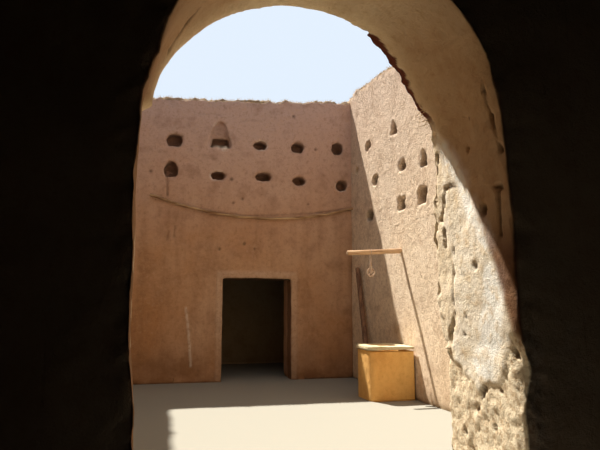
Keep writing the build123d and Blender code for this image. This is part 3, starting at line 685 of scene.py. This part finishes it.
def nest_wear(axis, face):
    """A function that makes the nests in a face irregular: the face is at a place along an axis."""

    def wear(points, normals, moved, looks):
        depth = points[:, axis] - face
        flat = np.delete(points, axis, axis=1)
        side = np.abs(np.delete(normals, axis, axis=1)).max(axis=1) > 0.5
        low, high = flat.min(axis=0) + NEST_MARGIN, flat.max(axis=0) - NEST_MARGIN
        inner = (flat > low).all(axis=1) & (flat < high).all(axis=1)
        hole = side & (depth > FACE_SLACK) & (depth < BAND_DEPTH - FACE_SLACK) & inner
        tree = kdtree.KDTree(int(hole.sum()))
        for i, place in enumerate(flat[hole]):
            tree.insert((*place, 0), i)
        tree.balance()
        gap = np.full(len(points), 1.0)
        for i in np.nonzero(depth < 2 * FACE_SLACK)[0]:
            gap[i] = tree.find((*flat[i], 0))[2]
        inside = (depth > 0.02) & (depth < BAND_DEPTH - 0.02) & inner
        near = np.maximum(fade(*NEST_LUMPS, gap), inside)
        lumps = 0.016 * layered_noise(points, 0.085, 81, 3) + 0.003
        moved = moved + normals * (near * lumps)[:, None]
        rim = fade(0.05, 0.0, gap) * fade(0.08, 0.0, np.abs(depth))
        moved[:, axis] += rim * 0.012
        # Painted shade that deepens inside the nests
        looks["nest"] = inside * fade(0.01, 0.18, depth)
        sills = fade(0.045, 0.01, gap) * fade(0.1, 0.5, layered_noise(points, 0.35, 91, 2))
        looks["pale"] = sills * (depth < FACE_SLACK) * 0.4
        if axis == 1:
            mud_sill(points, normals, moved, looks)
            moved = back_marks(points, normals, moved, looks)
        return moved

    return wear


def link_nodes(owner):
    """Empty a material's or the world's node tree, and return a function that adds a node to it."""
    owner.use_nodes = True
    tree = owner.node_tree
    tree.nodes.clear()

    def add(kind, inputs=(), **settings):
        node = tree.nodes.new("ShaderNode" + kind)
        for key, value in settings.items():
            setattr(node, key, value)
        for socket, value in dict(inputs).items():
            if isinstance(value, bpy.types.NodeSocket):
                tree.links.new(value, node.inputs[socket])
            else:
                node.inputs[socket].default_value = value
        return node

    return add


def new_material(name):
    """A new material, the function that adds its nodes, and the places that its textures use."""
    material = bpy.data.materials.new(name)
    add = link_nodes(material)
    return material, add, add("TexCoord").outputs["Object"]


def finish_material(add, color, roughness, height, strength, distance, metallic=0.0):
    """The shader and output at the end of a material, with its bump."""
    bump = add("Bump", {"Height": height, "Strength": strength, "Distance": distance})
    inputs = {"Base Color": color, "Roughness": roughness, "Metallic": metallic}
    inputs |= {"Normal": bump.outputs[0], "Specular IOR Level": 0.2}
    shader = add("BsdfPrincipled", inputs)
    add("OutputMaterial", {"Surface": shader.outputs[0]})


def math_node(add, operation, first, second=0.0):
    """The output of one arithmetic node."""
    return add("Math", {0: first, 1: second}, operation=operation).outputs[0]


def times(add, first, second):
    """The output of a node that multiplies."""
    return math_node(add, "MULTIPLY", first, second)


def mix_color(add, share, first, second):
    """The output of a node that mixes two colours."""
    return add("Mix", {0: share, 6: first, 7: second}, data_type="RGBA").outputs[2]


def ramp(add, value, low, high):
    """The output of a node that stretches low to high over 0 to 1."""
    return add("MapRange", {0: value, 1: low, 2: high}).outputs[0]


def noise(add, place, scale, detail=3.0, roughness=0.55):
    """The output of a noise texture."""
    settings = {"Vector": place, "Scale": scale, "Detail": detail, "Roughness": roughness}
    return add("TexNoise", settings).outputs[0]


def stretched(add, place, scale, turn=(0, 0, 0)):
    """Texture coordinates whose grain has these sizes, turned by these angles."""
    settings = {"Vector": place, "Rotation": turn, "Scale": scale}
    return add("Mapping", settings, vector_type="TEXTURE").outputs[0]


def look(add, name):
    """The output of a node that reads the values kept at a mesh's points under a name."""
    return add("Attribute", attribute_name=name).outputs["Fac"]


def srgb(red, green, blue):
    """A colour given in 0 to 255 display values, as the linear values that a shader takes."""
    linear = []
    for value in (red, green, blue):
        value /= 255
        linear.append(value / 12.92 if value <= 0.04045 else ((value + 0.055) / 1.055) ** 2.4)
    return (*linear, 1.0)


# Dark brown of the painted shade in the rooms, on the arch wall's room face and in the doorway
SOOT = srgb(48, 24, 18)
# Brown of the painted shade in the arch's opening and the doorway's passage
SMOKE_BROWN = srgb(150, 98, 54)
# Painted shade in cracks, pits and pocks
CRACK_DARK = srgb(70, 48, 28)
# Painted shade inside the nests
NEST_DARK = srgb(84, 56, 38)
LIME = srgb(254, 249, 238)
# Dark red-brown of bare mud with painted shade
RED_MUD = srgb(104, 54, 36)
STRAW = srgb(232, 206, 150)
# Crust on the tops of walls, darker also as painted shade where the sun falls most
CRUST = srgb(150, 132, 112)


def mud_tones(pale, dark, warm, upper):
    """The four tones of a mud plaster, given in display values."""
    return dict(pale=srgb(*pale), dark=srgb(*dark), warm=srgb(*warm), upper=srgb(*upper))


# Darker mud tones of the outer walls, also laid as painted shade on faces towards the sun
OUTSIDE = mud_tones((190, 164, 134), (142, 114, 86), (178, 146, 110), (184, 162, 138))


def adobe_material(name, palette, streaks=0.5, grain=0.5, straw=0.5, damp=0.45, speckle=0.0):
    """Mud plaster mixed with chopped straw, streaked by rain and mottled by damp."""
    material, add, place = new_material(name)
    height_up = add("SeparateXYZ", {0: place}).outputs[2]
    patches = noise(add, place, 0.55, 3.0)
    blotches = noise(add, place, 3.1, 4.0)
    grit = noise(add, place, 9.0, 5.0, 0.75)
    mottling = noise(add, place, 14.0, 5.0, 0.65)
    lumps = noise(add, place, 30.0, 3.0, 0.6)
    specks = noise(add, place, 75.0, 3.0, 0.7)
    fine = noise(add, place, 150.0, 2.0, 0.7)
    rain = noise(add, stretched(add, place, (0.22, 0.22, 2.2)), 1.0, 3.0, 0.6)
    dashes = straw_dashes(add, place)
    outside = look(add, "outside")
    tones = {key: mix_color(add, outside, palette[key], OUTSIDE[key]) for key in palette}
    pale, dark = tones["pale"], tones["dark"]

    # Colour, from the large patches down to the straw and the damp at the foot
    color = mix_color(add, ramp(add, patches, 0.32, 0.68), pale, tones["warm"])
    rise = math_node(add, "ADD", height_up, times(add, blotches, 1.2))
    color = mix_color(add, ramp(add, rise, 3.0, 6.2), color, tones["upper"])
    washed = times(add, ramp(add, rain, 0.48, 0.74), ramp(add, rise, 5.2, 3.2))
    wet = times(add, look(add, "low"), ramp(add, blotches, 0.15, 0.6))
    for value, share, tone in (
        (ramp(add, blotches, 0.5, 0.78), 0.55, dark),
        (washed, streaks, dark),
        (ramp(add, mottling, 0.52, 0.75), 0.45, dark),
        (ramp(add, mottling, 0.46, 0.3), 0.4, pale),
        (ramp(add, grit, 0.5, 0.62), speckle, dark),
        (ramp(add, lumps, 0.55, 0.75), grain * 0.55, dark),
        (dashes, straw * 0.6, STRAW),
        (ramp(add, specks, 0.58, 0.72), grain * 0.6, dark),
        (wet, damp, dark),
    ):
        color = mix_color(add, times(add, value, share), color, tone)

    # Wear, painted shade and painted sunlight that the mesh names
    lime = mix_color(add, times(add, ramp(add, rain, 0.5, 0.7), 0.25), LIME, pale)
    # The tops' crust, darker also as painted shade where the sun falls most
    crust_share = times(add, ramp(add, mottling, 0.4, 0.7), 0.4)
    crust = mix_color(add, crust_share, CRUST, OUTSIDE["dark"])
    for mark, share, tone in (
        ("pale", ramp(add, mottling, 0.74, 0.48), lime),
        ("bare", 1.0, bare_mud(add, place, pale, dark)),
        ("smoke", 1.0, SMOKE_BROWN),
        ("red", 1.0, RED_MUD),
        ("crack", 0.8, CRACK_DARK),
        ("nest", 0.5, NEST_DARK),
        ("top", 1.0, crust),
        ("soot", 0.86, SOOT),
    ):
        color = mix_color(add, times(add, look(add, mark), share), color, tone)

    # Bump, coarse to fine
    bump = times(add, mottling, 0.5)
    for value, height in (
        (grit, 3 * speckle),
        (lumps, 0.5 * grain),
        (specks, 0.3 * grain + 0.08),
        (fine, 0.1),
        (dashes, 0.1),
    ):
        bump = math_node(add, "ADD", bump, times(add, value, height))
    finish_material(add, color, 0.95, bump, 0.8, 0.024 * (0.5 + grain))
    return material


def straw_dashes(add, place):
    """1 on short straws that lie in three directions, 0 between them."""
    total = None
    for turn, scale in (
        ((0.4, 0.3, 0.5), (0.035, 0.0045, 0.0045)),
        ((1.3, 0.8, 2.1), (0.03, 0.004, 0.004)),
        ((2.2, 1.7, 1.1), (0.004, 0.004, 0.033)),
    ):
        stalks = ramp(add, noise(add, stretched(add, place, scale, turn), 1.0, 0.0), 0.74, 0.8)
        total = stalks if total is None else math_node(add, "MAXIMUM", total, stalks)
    return total


def bare_mud(add, place, pale, dark):
    """The colour of the wall's core where the plaster is gone: mud, pebbles and straw."""
    pebbles = add("TexVoronoi", {"Vector": place, "Scale": 56.0}).outputs["Color"]
    value = add("SeparateColor", {0: pebbles}).outputs[0]
    return mix_color(add, ramp(add, value, -0.35, 0.6), dark, pale)


def wood_material(name, pale, dark, along):
    """Weathered timber of two display colours: along is the axis that its grain follows."""
    material, add, place = new_material(name)
    thin, wide = [0.012, 0.012, 0.012], [0.05, 0.05, 0.05]
    thin[along], wide[along] = 0.3, 0.5
    grain = noise(add, stretched(add, place, thin), 1.0, 4.0, 0.6)
    bands = noise(add, stretched(add, place, wide), 1.0, 3.0)
    pale, dark = srgb(*pale), srgb(*dark)
    color = mix_color(add, ramp(add, bands, 0.35, 0.65), pale, dark)
    color = mix_color(add, times(add, ramp(add, grain, 0.5, 0.7), 0.6), color, dark)
    finish_material(add, color, 0.85, grain, 0.6, 0.006)
    return material


def iron_material():
    """Forged iron, mottled brown with rust and a paler tone."""
    material, add, place = new_material("rusty_iron")
    rust = noise(add, place, 60.0, 5.0, 0.7)
    color = mix_color(add, ramp(add, rust, 0.4, 0.62), srgb(206, 190, 172), srgb(168, 132, 104))
    finish_material(add, color, 0.6, rust, 0.5, 0.002, metallic=0.3)
    return material


def cane_material():
    """Split canes laid side by side."""
    material, add, place = new_material("cane_mat")
    waves = {"Vector": place, "Scale": 14.0, "Distortion": 1.5}
    canes = add("TexWave", waves, bands_direction="Y")
    tint = noise(add, stretched(add, place, (0.6, 0.03, 0.03)), 1.0)
    color = mix_color(add, tint, srgb(176, 150, 104), srgb(120, 96, 62))
    finish_material(add, color, 0.8, canes.outputs[1], 0.8, 0.012)
    return material


def straw_material():
    """Loose straw, bleached by the sun."""
    material, add, place = new_material("straw")
    tint = noise(add, place, 25.0, 2.0)
    color = mix_color(add, ramp(add, tint, 0.35, 0.65), srgb(240, 218, 170), srgb(190, 156, 104))
    finish_material(add, color, 0.7, tint, 0.2, 0.001)
    return material


def dress(piece, material, slot, *nodes):
    """Give a piece its material, hide the nodes it stands for, and attach it to its body. slot is
    not used.
    """
    piece.data.materials.clear()
    piece.data.materials.append(material)
    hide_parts(*nodes)
    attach(piece, HOUSE)


def paint(node, material):
    """Give a node of the frame a finished material."""
    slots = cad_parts[node].data.materials
    slots.clear()
    slots.append(material)


def wood_shape(name, node, material, along, bend):
    """A pole with the knots and bends of a real branch, in place of a node's plain one."""
    piece = shell(name, [node], WOOD_CELL)
    mesh = piece.data
    points = smoothed(mesh, points_of(mesh), 1)
    set_points(mesh, points)
    normals = normals_of(mesh)
    grain = [0.03, 0.03, 0.03]
    grain[along] = 0.5
    knots = [0.06, 0.06, 0.06]
    knots[along] = 0.14
    relief = (
        0.003 * layered_noise(points, grain, 101, 2)
        + 0.0035 * layered_noise(points, knots, 111, 2)
        - 0.003
    )
    course = points.copy()
    course[:, [i for i in range(3) if i != along]] = 0
    sway = bend * value_noise(course, 0.45, 121)
    moved = points + normals * relief[:, None]
    moved[:, 2 if along != 2 else 1] += sway
    set_points(mesh, np.clip(moved, CAD_LOW, CAD_HIGH))
    dress(piece, material, "old_wood", node)


def straw_fringe(name, roots, directions, length, seed):
    """Loose stalks that stick out of worn mud, one at each root, as one mesh of closed prisms."""
    random = np.random.default_rng(seed)
    count = len(roots)
    aim = directions + random.normal(0, 0.55, (count, 3))
    aim /= np.linalg.norm(aim, axis=1)[:, None]
    lengths = length * random.uniform(0.4, 1.0, count)
    start, end = roots - aim * 0.015, roots + aim * lengths[:, None]
    aside = np.cross(aim, random.normal(0, 1, (count, 3)))
    aside /= np.linalg.norm(aside, axis=1)[:, None]
    over = np.cross(aim, aside)
    corners = []
    for angle in (0.0, 2 * math.pi / 3, 4 * math.pi / 3):
        offset = STALK_RADIUS * (math.cos(angle) * aside + math.sin(angle) * over)
        corners += [start + offset, end + 0.5 * offset]
    points = np.clip(np.stack(corners, axis=1).reshape(-1, 3), CAD_LOW, CAD_HIGH)
    sides = [(0, 2, 3, 1), (2, 4, 5, 3), (4, 0, 1, 5), (0, 4, 2), (1, 3, 5)]
    faces = [tuple(6 * i + corner for corner in face) for i in range(count) for face in sides]
    mesh = bpy.data.meshes.new(name)
    mesh.from_pydata(points.tolist(), [], faces)
    piece = placed(name, mesh)
    mesh.materials.append(loose_straw)
    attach(piece, HOUSE)


def top_straw(name, wall, axis, face, lowest, count, seed):
    """Straw along the top of a wall, near its face, which is at a place along an axis."""
    points, normals = points_of(wall.data), normals_of(wall.data)
    on_edge = (points[:, 2] > lowest) & (points[:, axis] < face + STALK_BELT)
    chosen = np.nonzero(on_edge & (normals[:, 2] > 0.2))[0]
    random = np.random.default_rng(seed)
    picked = random.choice(chosen, min(count, len(chosen)), replace=False)
    straw_fringe(name, points[picked], normals[picked], STALK_LENGTH, seed + 1)


ADOBE_BROWN = mud_tones((205, 168, 138), (143, 103, 71), (189, 140, 98), (208, 177, 166))
ADOBE_CREAM = mud_tones((250, 230, 204), (172, 138, 106), (244, 218, 184), (226, 202, 182))
ADOBE_TAN = mud_tones((246, 228, 196), (186, 150, 106), (238, 212, 168), (246, 226, 190))
MUD_ORANGE = mud_tones((244, 200, 124), (204, 146, 78), (240, 180, 102), (244, 200, 124))
COPING_LIME = mud_tones((226, 214, 180), (180, 158, 116), (216, 198, 158), (226, 214, 180))

adobe_back = adobe_material(
    "adobe_back", ADOBE_BROWN, streaks=0.35, grain=0.45, straw=0.4, damp=0.9
)
adobe_side = adobe_material(
    "adobe_side", ADOBE_CREAM, streaks=0.1, grain=1.0, straw=0.7, speckle=0.35
)
adobe_arch = adobe_material("adobe_arch", ADOBE_TAN, streaks=0.1, grain=0.5, straw=0.8)
adobe_outer = adobe_material("adobe_outer", ADOBE_TAN, streaks=0.1, grain=0.7, straw=0.6)
well_mud = adobe_material("well_mud", MUD_ORANGE, straw=0.3, damp=0.2)
well_lime = adobe_material("well_lime", COPING_LIME, streaks=0.2)
pole_wood = wood_material("pole_wood", (238, 206, 166), (170, 132, 98), 0)
bow_wood = wood_material("bow_wood", (206, 174, 134), (134, 100, 72), 0)
grey_wood = wood_material("grey_wood", (150, 116, 92), (100, 74, 60), 2)
roof_wood = wood_material("roof_wood", (120, 92, 66), (72, 52, 38), 1)
lintel_wood = wood_material("lintel_wood", (120, 92, 66), (72, 52, 38), 0)
iron = iron_material()
cane = cane_material()
loose_straw = straw_material()

# The court's back wall: a fine band with the nests, a fine block round the doorway, and the rest
BACK_NODES = [
    "back_wall_left", "back_wall_right", "back_wall_middle", "back_wall_upper", "doorway_surround",
]
z0 = BACK_BAND_Z
x0, x1 = DOOR_BLOCK_X
past = reach(NEST_CELL)
behind = COURT_BACK_Y + BAND_BACKING
top_seam = COURT_BACK_Y + BAND_TOP_SEAM
band_box = ((-FAR, -FAR, z0 - past), (FAR, COURT_BACK_Y + BAND_DEPTH, FAR))
back_band = shell("back_wall_nests", BACK_NODES, NEST_CELL, [band_box], widen=BACK_WIDEN)
tucks = [[(2, z0, -1)], [(1, top_seam, 1), (2, TOP_BAND_Z, 1)]]
weathered(back_band, 0, NEST_CELL, 2, BACK_RELIEF, tucks, nest_wear(1, COURT_BACK_Y))
door_box = ((x0 - past, -FAR, -1), (x1 + past, COURT_BACK_Y + BAND_DEPTH, z0 + past))
door_block = shell("back_wall_doorway", BACK_NODES, NEST_CELL, [door_box])
tucks = [[(0, x0, -1)], [(0, x1, 1)], [(2, z0, 1)]]
weathered(door_block, 0, NEST_CELL, 2, BACK_RELIEF, tucks, back_marks)
past = reach(BACK_CELL)
back_boxes = [
    ((-FAR, -FAR, -1), (x0 + past, FAR, z0 + past)),
    ((x1 - past, -FAR, -1), (FAR, FAR, z0 + past)),
    ((x0 - 0.1, behind, -1), (x1 + 0.1, FAR, z0 + 0.1)),
    ((-FAR, behind, z0), (FAR, FAR, FAR)),
    ((-FAR, top_seam - past / 2, TOP_BAND_Z), (FAR, FAR, FAR)),
]
back_rest = shell("back_wall", BACK_NODES, BACK_CELL, back_boxes, widen=BACK_WIDEN)
tucks = [
    [(2, z0, 1), (1, behind, -1)],
    [(0, x0, 1), (0, x1, -1), (2, z0 + past, -1), (1, behind, -1)],
]
weathered(back_rest, 0, BACK_CELL, tucks=tucks)
for piece in (back_band, door_block, back_rest):
    dress(piece, adobe_back, "adobe", *BACK_NODES)

# The arch wall: a fine block round the opening, and the rest
ARCH_NODES = ["arch_wall_left", "arch_wall_right", "arch_wall_head"]
x0, x1 = ARCH_BLOCK_X
z1 = ARCH_BLOCK_Z
past = reach(FINE_CELL)
arch_box = ((x0 - past, -FAR, -1), (x1 + past, FAR, z1 + past))
arch_block = shell("arch_opening", ARCH_NODES, FINE_CELL, [arch_box])
tucks = [[(0, x0, -1)], [(0, x1, 1)], [(2, z1, 1)]]
weathered(arch_block, 0, FINE_CELL, 3, ARCH_RELIEF, tucks, arch_wear)
past = reach(SIDE_CELL)
arch_boxes = [
    ((-FAR, -FAR, -1), (x0 + past, FAR, FAR)),
    ((x1 - past, -FAR, -1), (FAR, FAR, FAR)),
    ((x0, -FAR, z1 - past), (x1, FAR, FAR)),
]
arch_rest = shell("arch_wall", ARCH_NODES, SIDE_CELL, arch_boxes, widen=WIDEN)
tucks = [[(0, x0, 1), (0, x1, -1), (2, z1, -1)]]
weathered(arch_rest, 0, SIDE_CELL, tucks=tucks, extra=sunny_side)
for piece in (arch_block, arch_rest):
    dress(piece, adobe_arch, "adobe", *ARCH_NODES)

# Front and rear walls
FRONT_NODES = ["front_wall_left", "front_wall_right", "front_wall_upper"]
front_wall = shell("front_wall", FRONT_NODES, OUTER_CELL, widen=WIDEN)
weathered(front_wall, 0, OUTER_CELL, extra=sunny_side)
dress(front_wall, adobe_outer, "adobe", *FRONT_NODES)
rear = shell("rear_wall_adobe", ["rear_wall"], OUTER_CELL, widen=WIDEN)
dress(weathered(rear, 0, OUTER_CELL), adobe_outer, "adobe", "rear_wall")

# Side walls, each cut at the two cross walls
FRONT_CUT = (ARCH_ROOM_Y + ARCH_COURT_Y) / 2
BACK_CUT = (COURT_BACK_Y + BACK_ROOM_Y) / 2
RIGHT_NODES = ["right_wall_lower", "right_wall_upper_front", "right_wall_upper_back"]
LEFT_NODES = ["left_wall_lower", "left_wall_upper_front", "left_wall_upper_back"]
past = reach(ROOM_CELL)
for side, nodes in (("left", LEFT_NODES), ("right", RIGHT_NODES)):
    for room, low, high in (("front_room", -FAR, FRONT_CUT), ("back_room", BACK_CUT, FAR)):
        box = ((-FAR, low - past, -1), (FAR, high + past, FAR))
        wall = shell(f"{side}_wall_by_{room}", nodes, ROOM_CELL, [box])
        tucks = [[(1, high, 1)]] if room == "front_room" else [[(1, low, -1)]]
        dress(weathered(wall, 1, ROOM_CELL, tucks=tucks), adobe_outer, "adobe", *nodes)

past = reach(SIDE_CELL)
court_ends = [[(1, FRONT_CUT, -1)], [(1, BACK_CUT, 1)]]
left_box = ((-FAR, FRONT_CUT - past, -1), (FAR, BACK_CUT + past, FAR))
left_court = shell("left_wall_by_court", LEFT_NODES, SIDE_CELL, [left_box])
weathered(left_court, 1, SIDE_CELL, tucks=court_ends)
dress(left_court, adobe_side, "adobe", *LEFT_NODES)

y0, z0 = SIDE_BAND_Y, SIDE_BAND_Z
side_end = COURT_BACK_Y + 0.1
behind = RIGHT_X + BAND_BACKING
top_seam = RIGHT_X + BAND_TOP_SEAM
near_past = reach(NEST_CELL)
side_low = (-FAR, y0 - near_past, z0 - near_past)
side_high = (RIGHT_X + BAND_DEPTH, side_end + near_past, FAR)
side_band = shell("right_wall_nests", RIGHT_NODES, NEST_CELL, [(side_low, side_high)])
tucks = [[(1, y0, -1)], [(2, z0, -1)], [(0, top_seam, 1), (2, TOP_BAND_Z, 1)]]
weathered(side_band, 1, NEST_CELL, 2, SIDE_RELIEF, tucks, nest_wear(0, RIGHT_X))
side_boxes = [
    ((-FAR, FRONT_CUT - past, -1), (FAR, y0 + past, FAR)),
    ((-FAR, y0, -1), (FAR, BACK_CUT + past, z0 + past)),
    ((behind, y0, z0), (FAR, BACK_CUT + past, FAR)),
    ((top_seam - past / 2, y0, TOP_BAND_Z), (FAR, BACK_CUT + past, FAR)),
    ((-FAR, side_end, z0), (FAR, BACK_CUT + past, FAR)),
]
side_rest = shell("right_wall_by_court", RIGHT_NODES, SIDE_CELL, side_boxes)
tucks = court_ends + [[(1, y0, 1), (2, z0, 1), (0, behind, -1)]]
weathered(side_rest, 1, SIDE_CELL, relief=SIDE_RELIEF[:2] + (0.0,), tucks=tucks)
for piece in (side_band, side_rest):
    dress(piece, adobe_side, "adobe", *RIGHT_NODES)

# Roofs
for room in ("front", "back"):
    earth = shell(room + "_roof_top", [room + "_roof_earth"], ROOM_CELL)
    dress(weathered(earth, 0, ROOM_CELL, rounds=0), adobe_outer, "adobe", room + "_roof_earth")
    paint(room + "_roof_poles", roof_wood)
    paint(room + "_roof_mat", cane)
paint("entrance_lintel", lintel_wood)
paint("doorway_lintel", lintel_wood)

# Well
curb = shell("well_wall", ["well_curb"], WELL_CELL)
dress(weathered(curb, 0, WELL_CELL, rounds=2, relief=WELL_RELIEF), well_mud, "adobe", "well_curb")
rim = shell("well_coping", ["well_rim"], FINE_CELL)
dress(weathered(rim, 0, FINE_CELL, rounds=2, relief=WELL_RELIEF), well_lime, "plaster", "well_rim")

# Timber and iron
wood_shape("beam", "pulley_beam", pole_wood, 0, 0.006)
wood_shape("bowed_branch", "bowed_pole", bow_wood, 0, 0.004)
wood_shape("leaning_branch", "leaning_pole", grey_wood, 2, 0.006)
paint("bowed_pole_peg", bow_wood)
for node in ("pulley_hanger", "pulley_crown", "pulley_cheeks", "pulley_pin", "pulley_wheel"):
    paint(node, iron)

# Straw that sticks out along the tops of the walls round the court, and a tuft at the arch's haunch
top_straw("back_wall_straw", back_band, 1, COURT_BACK_Y, lowest=5.45, count=1200, seed=7)
top_straw("right_wall_straw", side_band, 0, RIGHT_X, lowest=5.3, count=900, seed=9)
haunch = points_of(arch_block.data)
haunch_way, haunch_behind, _ = round_the_arch(haunch)
on_edge = (np.abs(haunch_way - 1.13) < 0.06) & (np.abs(haunch_behind) < 0.04)
on_edge &= haunch[:, 1] > -3.93
tuft = haunch[np.nonzero(on_edge)[0][:: max(1, int(on_edge.sum() / 16))]]
tuft_aims = np.tile((-0.5, 0.7, -0.3), (len(tuft), 1))
straw_fringe("haunch_straw", tuft, tuft_aims, TUFT_LENGTH, seed=11)

# Floor: a square with this half width
HALF = 90.0
floor_mesh = bpy.data.meshes.new("floor")
floor_corners = [(-HALF, -HALF, 0), (HALF, -HALF, 0), (HALF, HALF, 0), (-HALF, HALF, 0)]
floor_mesh.from_pydata(floor_corners, [], [(0, 1, 2, 3)])
floor = placed("floor", floor_mesh)
floor_material = bpy.data.materials.new("floor")
add = link_nodes(floor_material)
pale_ground = add("BsdfDiffuse", {"Color": srgb(153, 150, 140)})
add("OutputMaterial", {"Surface": pale_ground.outputs[0]})
floor_mesh.materials.append(floor_material)

# Light: the sun, a soft sky, and a paler sky that the camera and mirrors see
sun = bpy.data.lights.new("sun", "SUN")
sun.energy = SUN_STRENGTH
sun.color = SUN_COLOR
sun.angle = math.radians(SUN_SOFTNESS_DEG)
placed("sun", sun).rotation_euler = Vector(SUN_TRAVEL).to_track_quat("-Z", "Y").to_euler()

world = bpy.data.worlds.new("sky")
bpy.context.scene.world = world
add = link_nodes(world)
lit = add("Background", {"Color": (*SKY_COLOR, 1), "Strength": SKY_STRENGTH})
seen = add("Background", {"Color": (*SKY_SEEN, 1)})
ray = add("LightPath").outputs
shown = math_node(add, "MAXIMUM", ray["Is Camera Ray"], ray["Is Glossy Ray"])
sky = add("MixShader", {0: shown, 1: lit.outputs[0], 2: seen.outputs[0]})
add("OutputWorld", {0: sky.outputs[0]})

# Camera
camera = bpy.data.cameras.new("camera")
camera.sensor_width = SENSOR_MM
camera.lens = LENS_MM
camera.clip_start = 0.05
camera_object = placed("camera", camera)
camera_object.location = EYE
camera_object.rotation_euler = (math.radians(90 + PITCH_DEG), 0, math.radians(-HEADING_DEG))
bpy.context.scene.camera = camera_object

bpy.context.scene.view_settings.view_transform = "Standard"
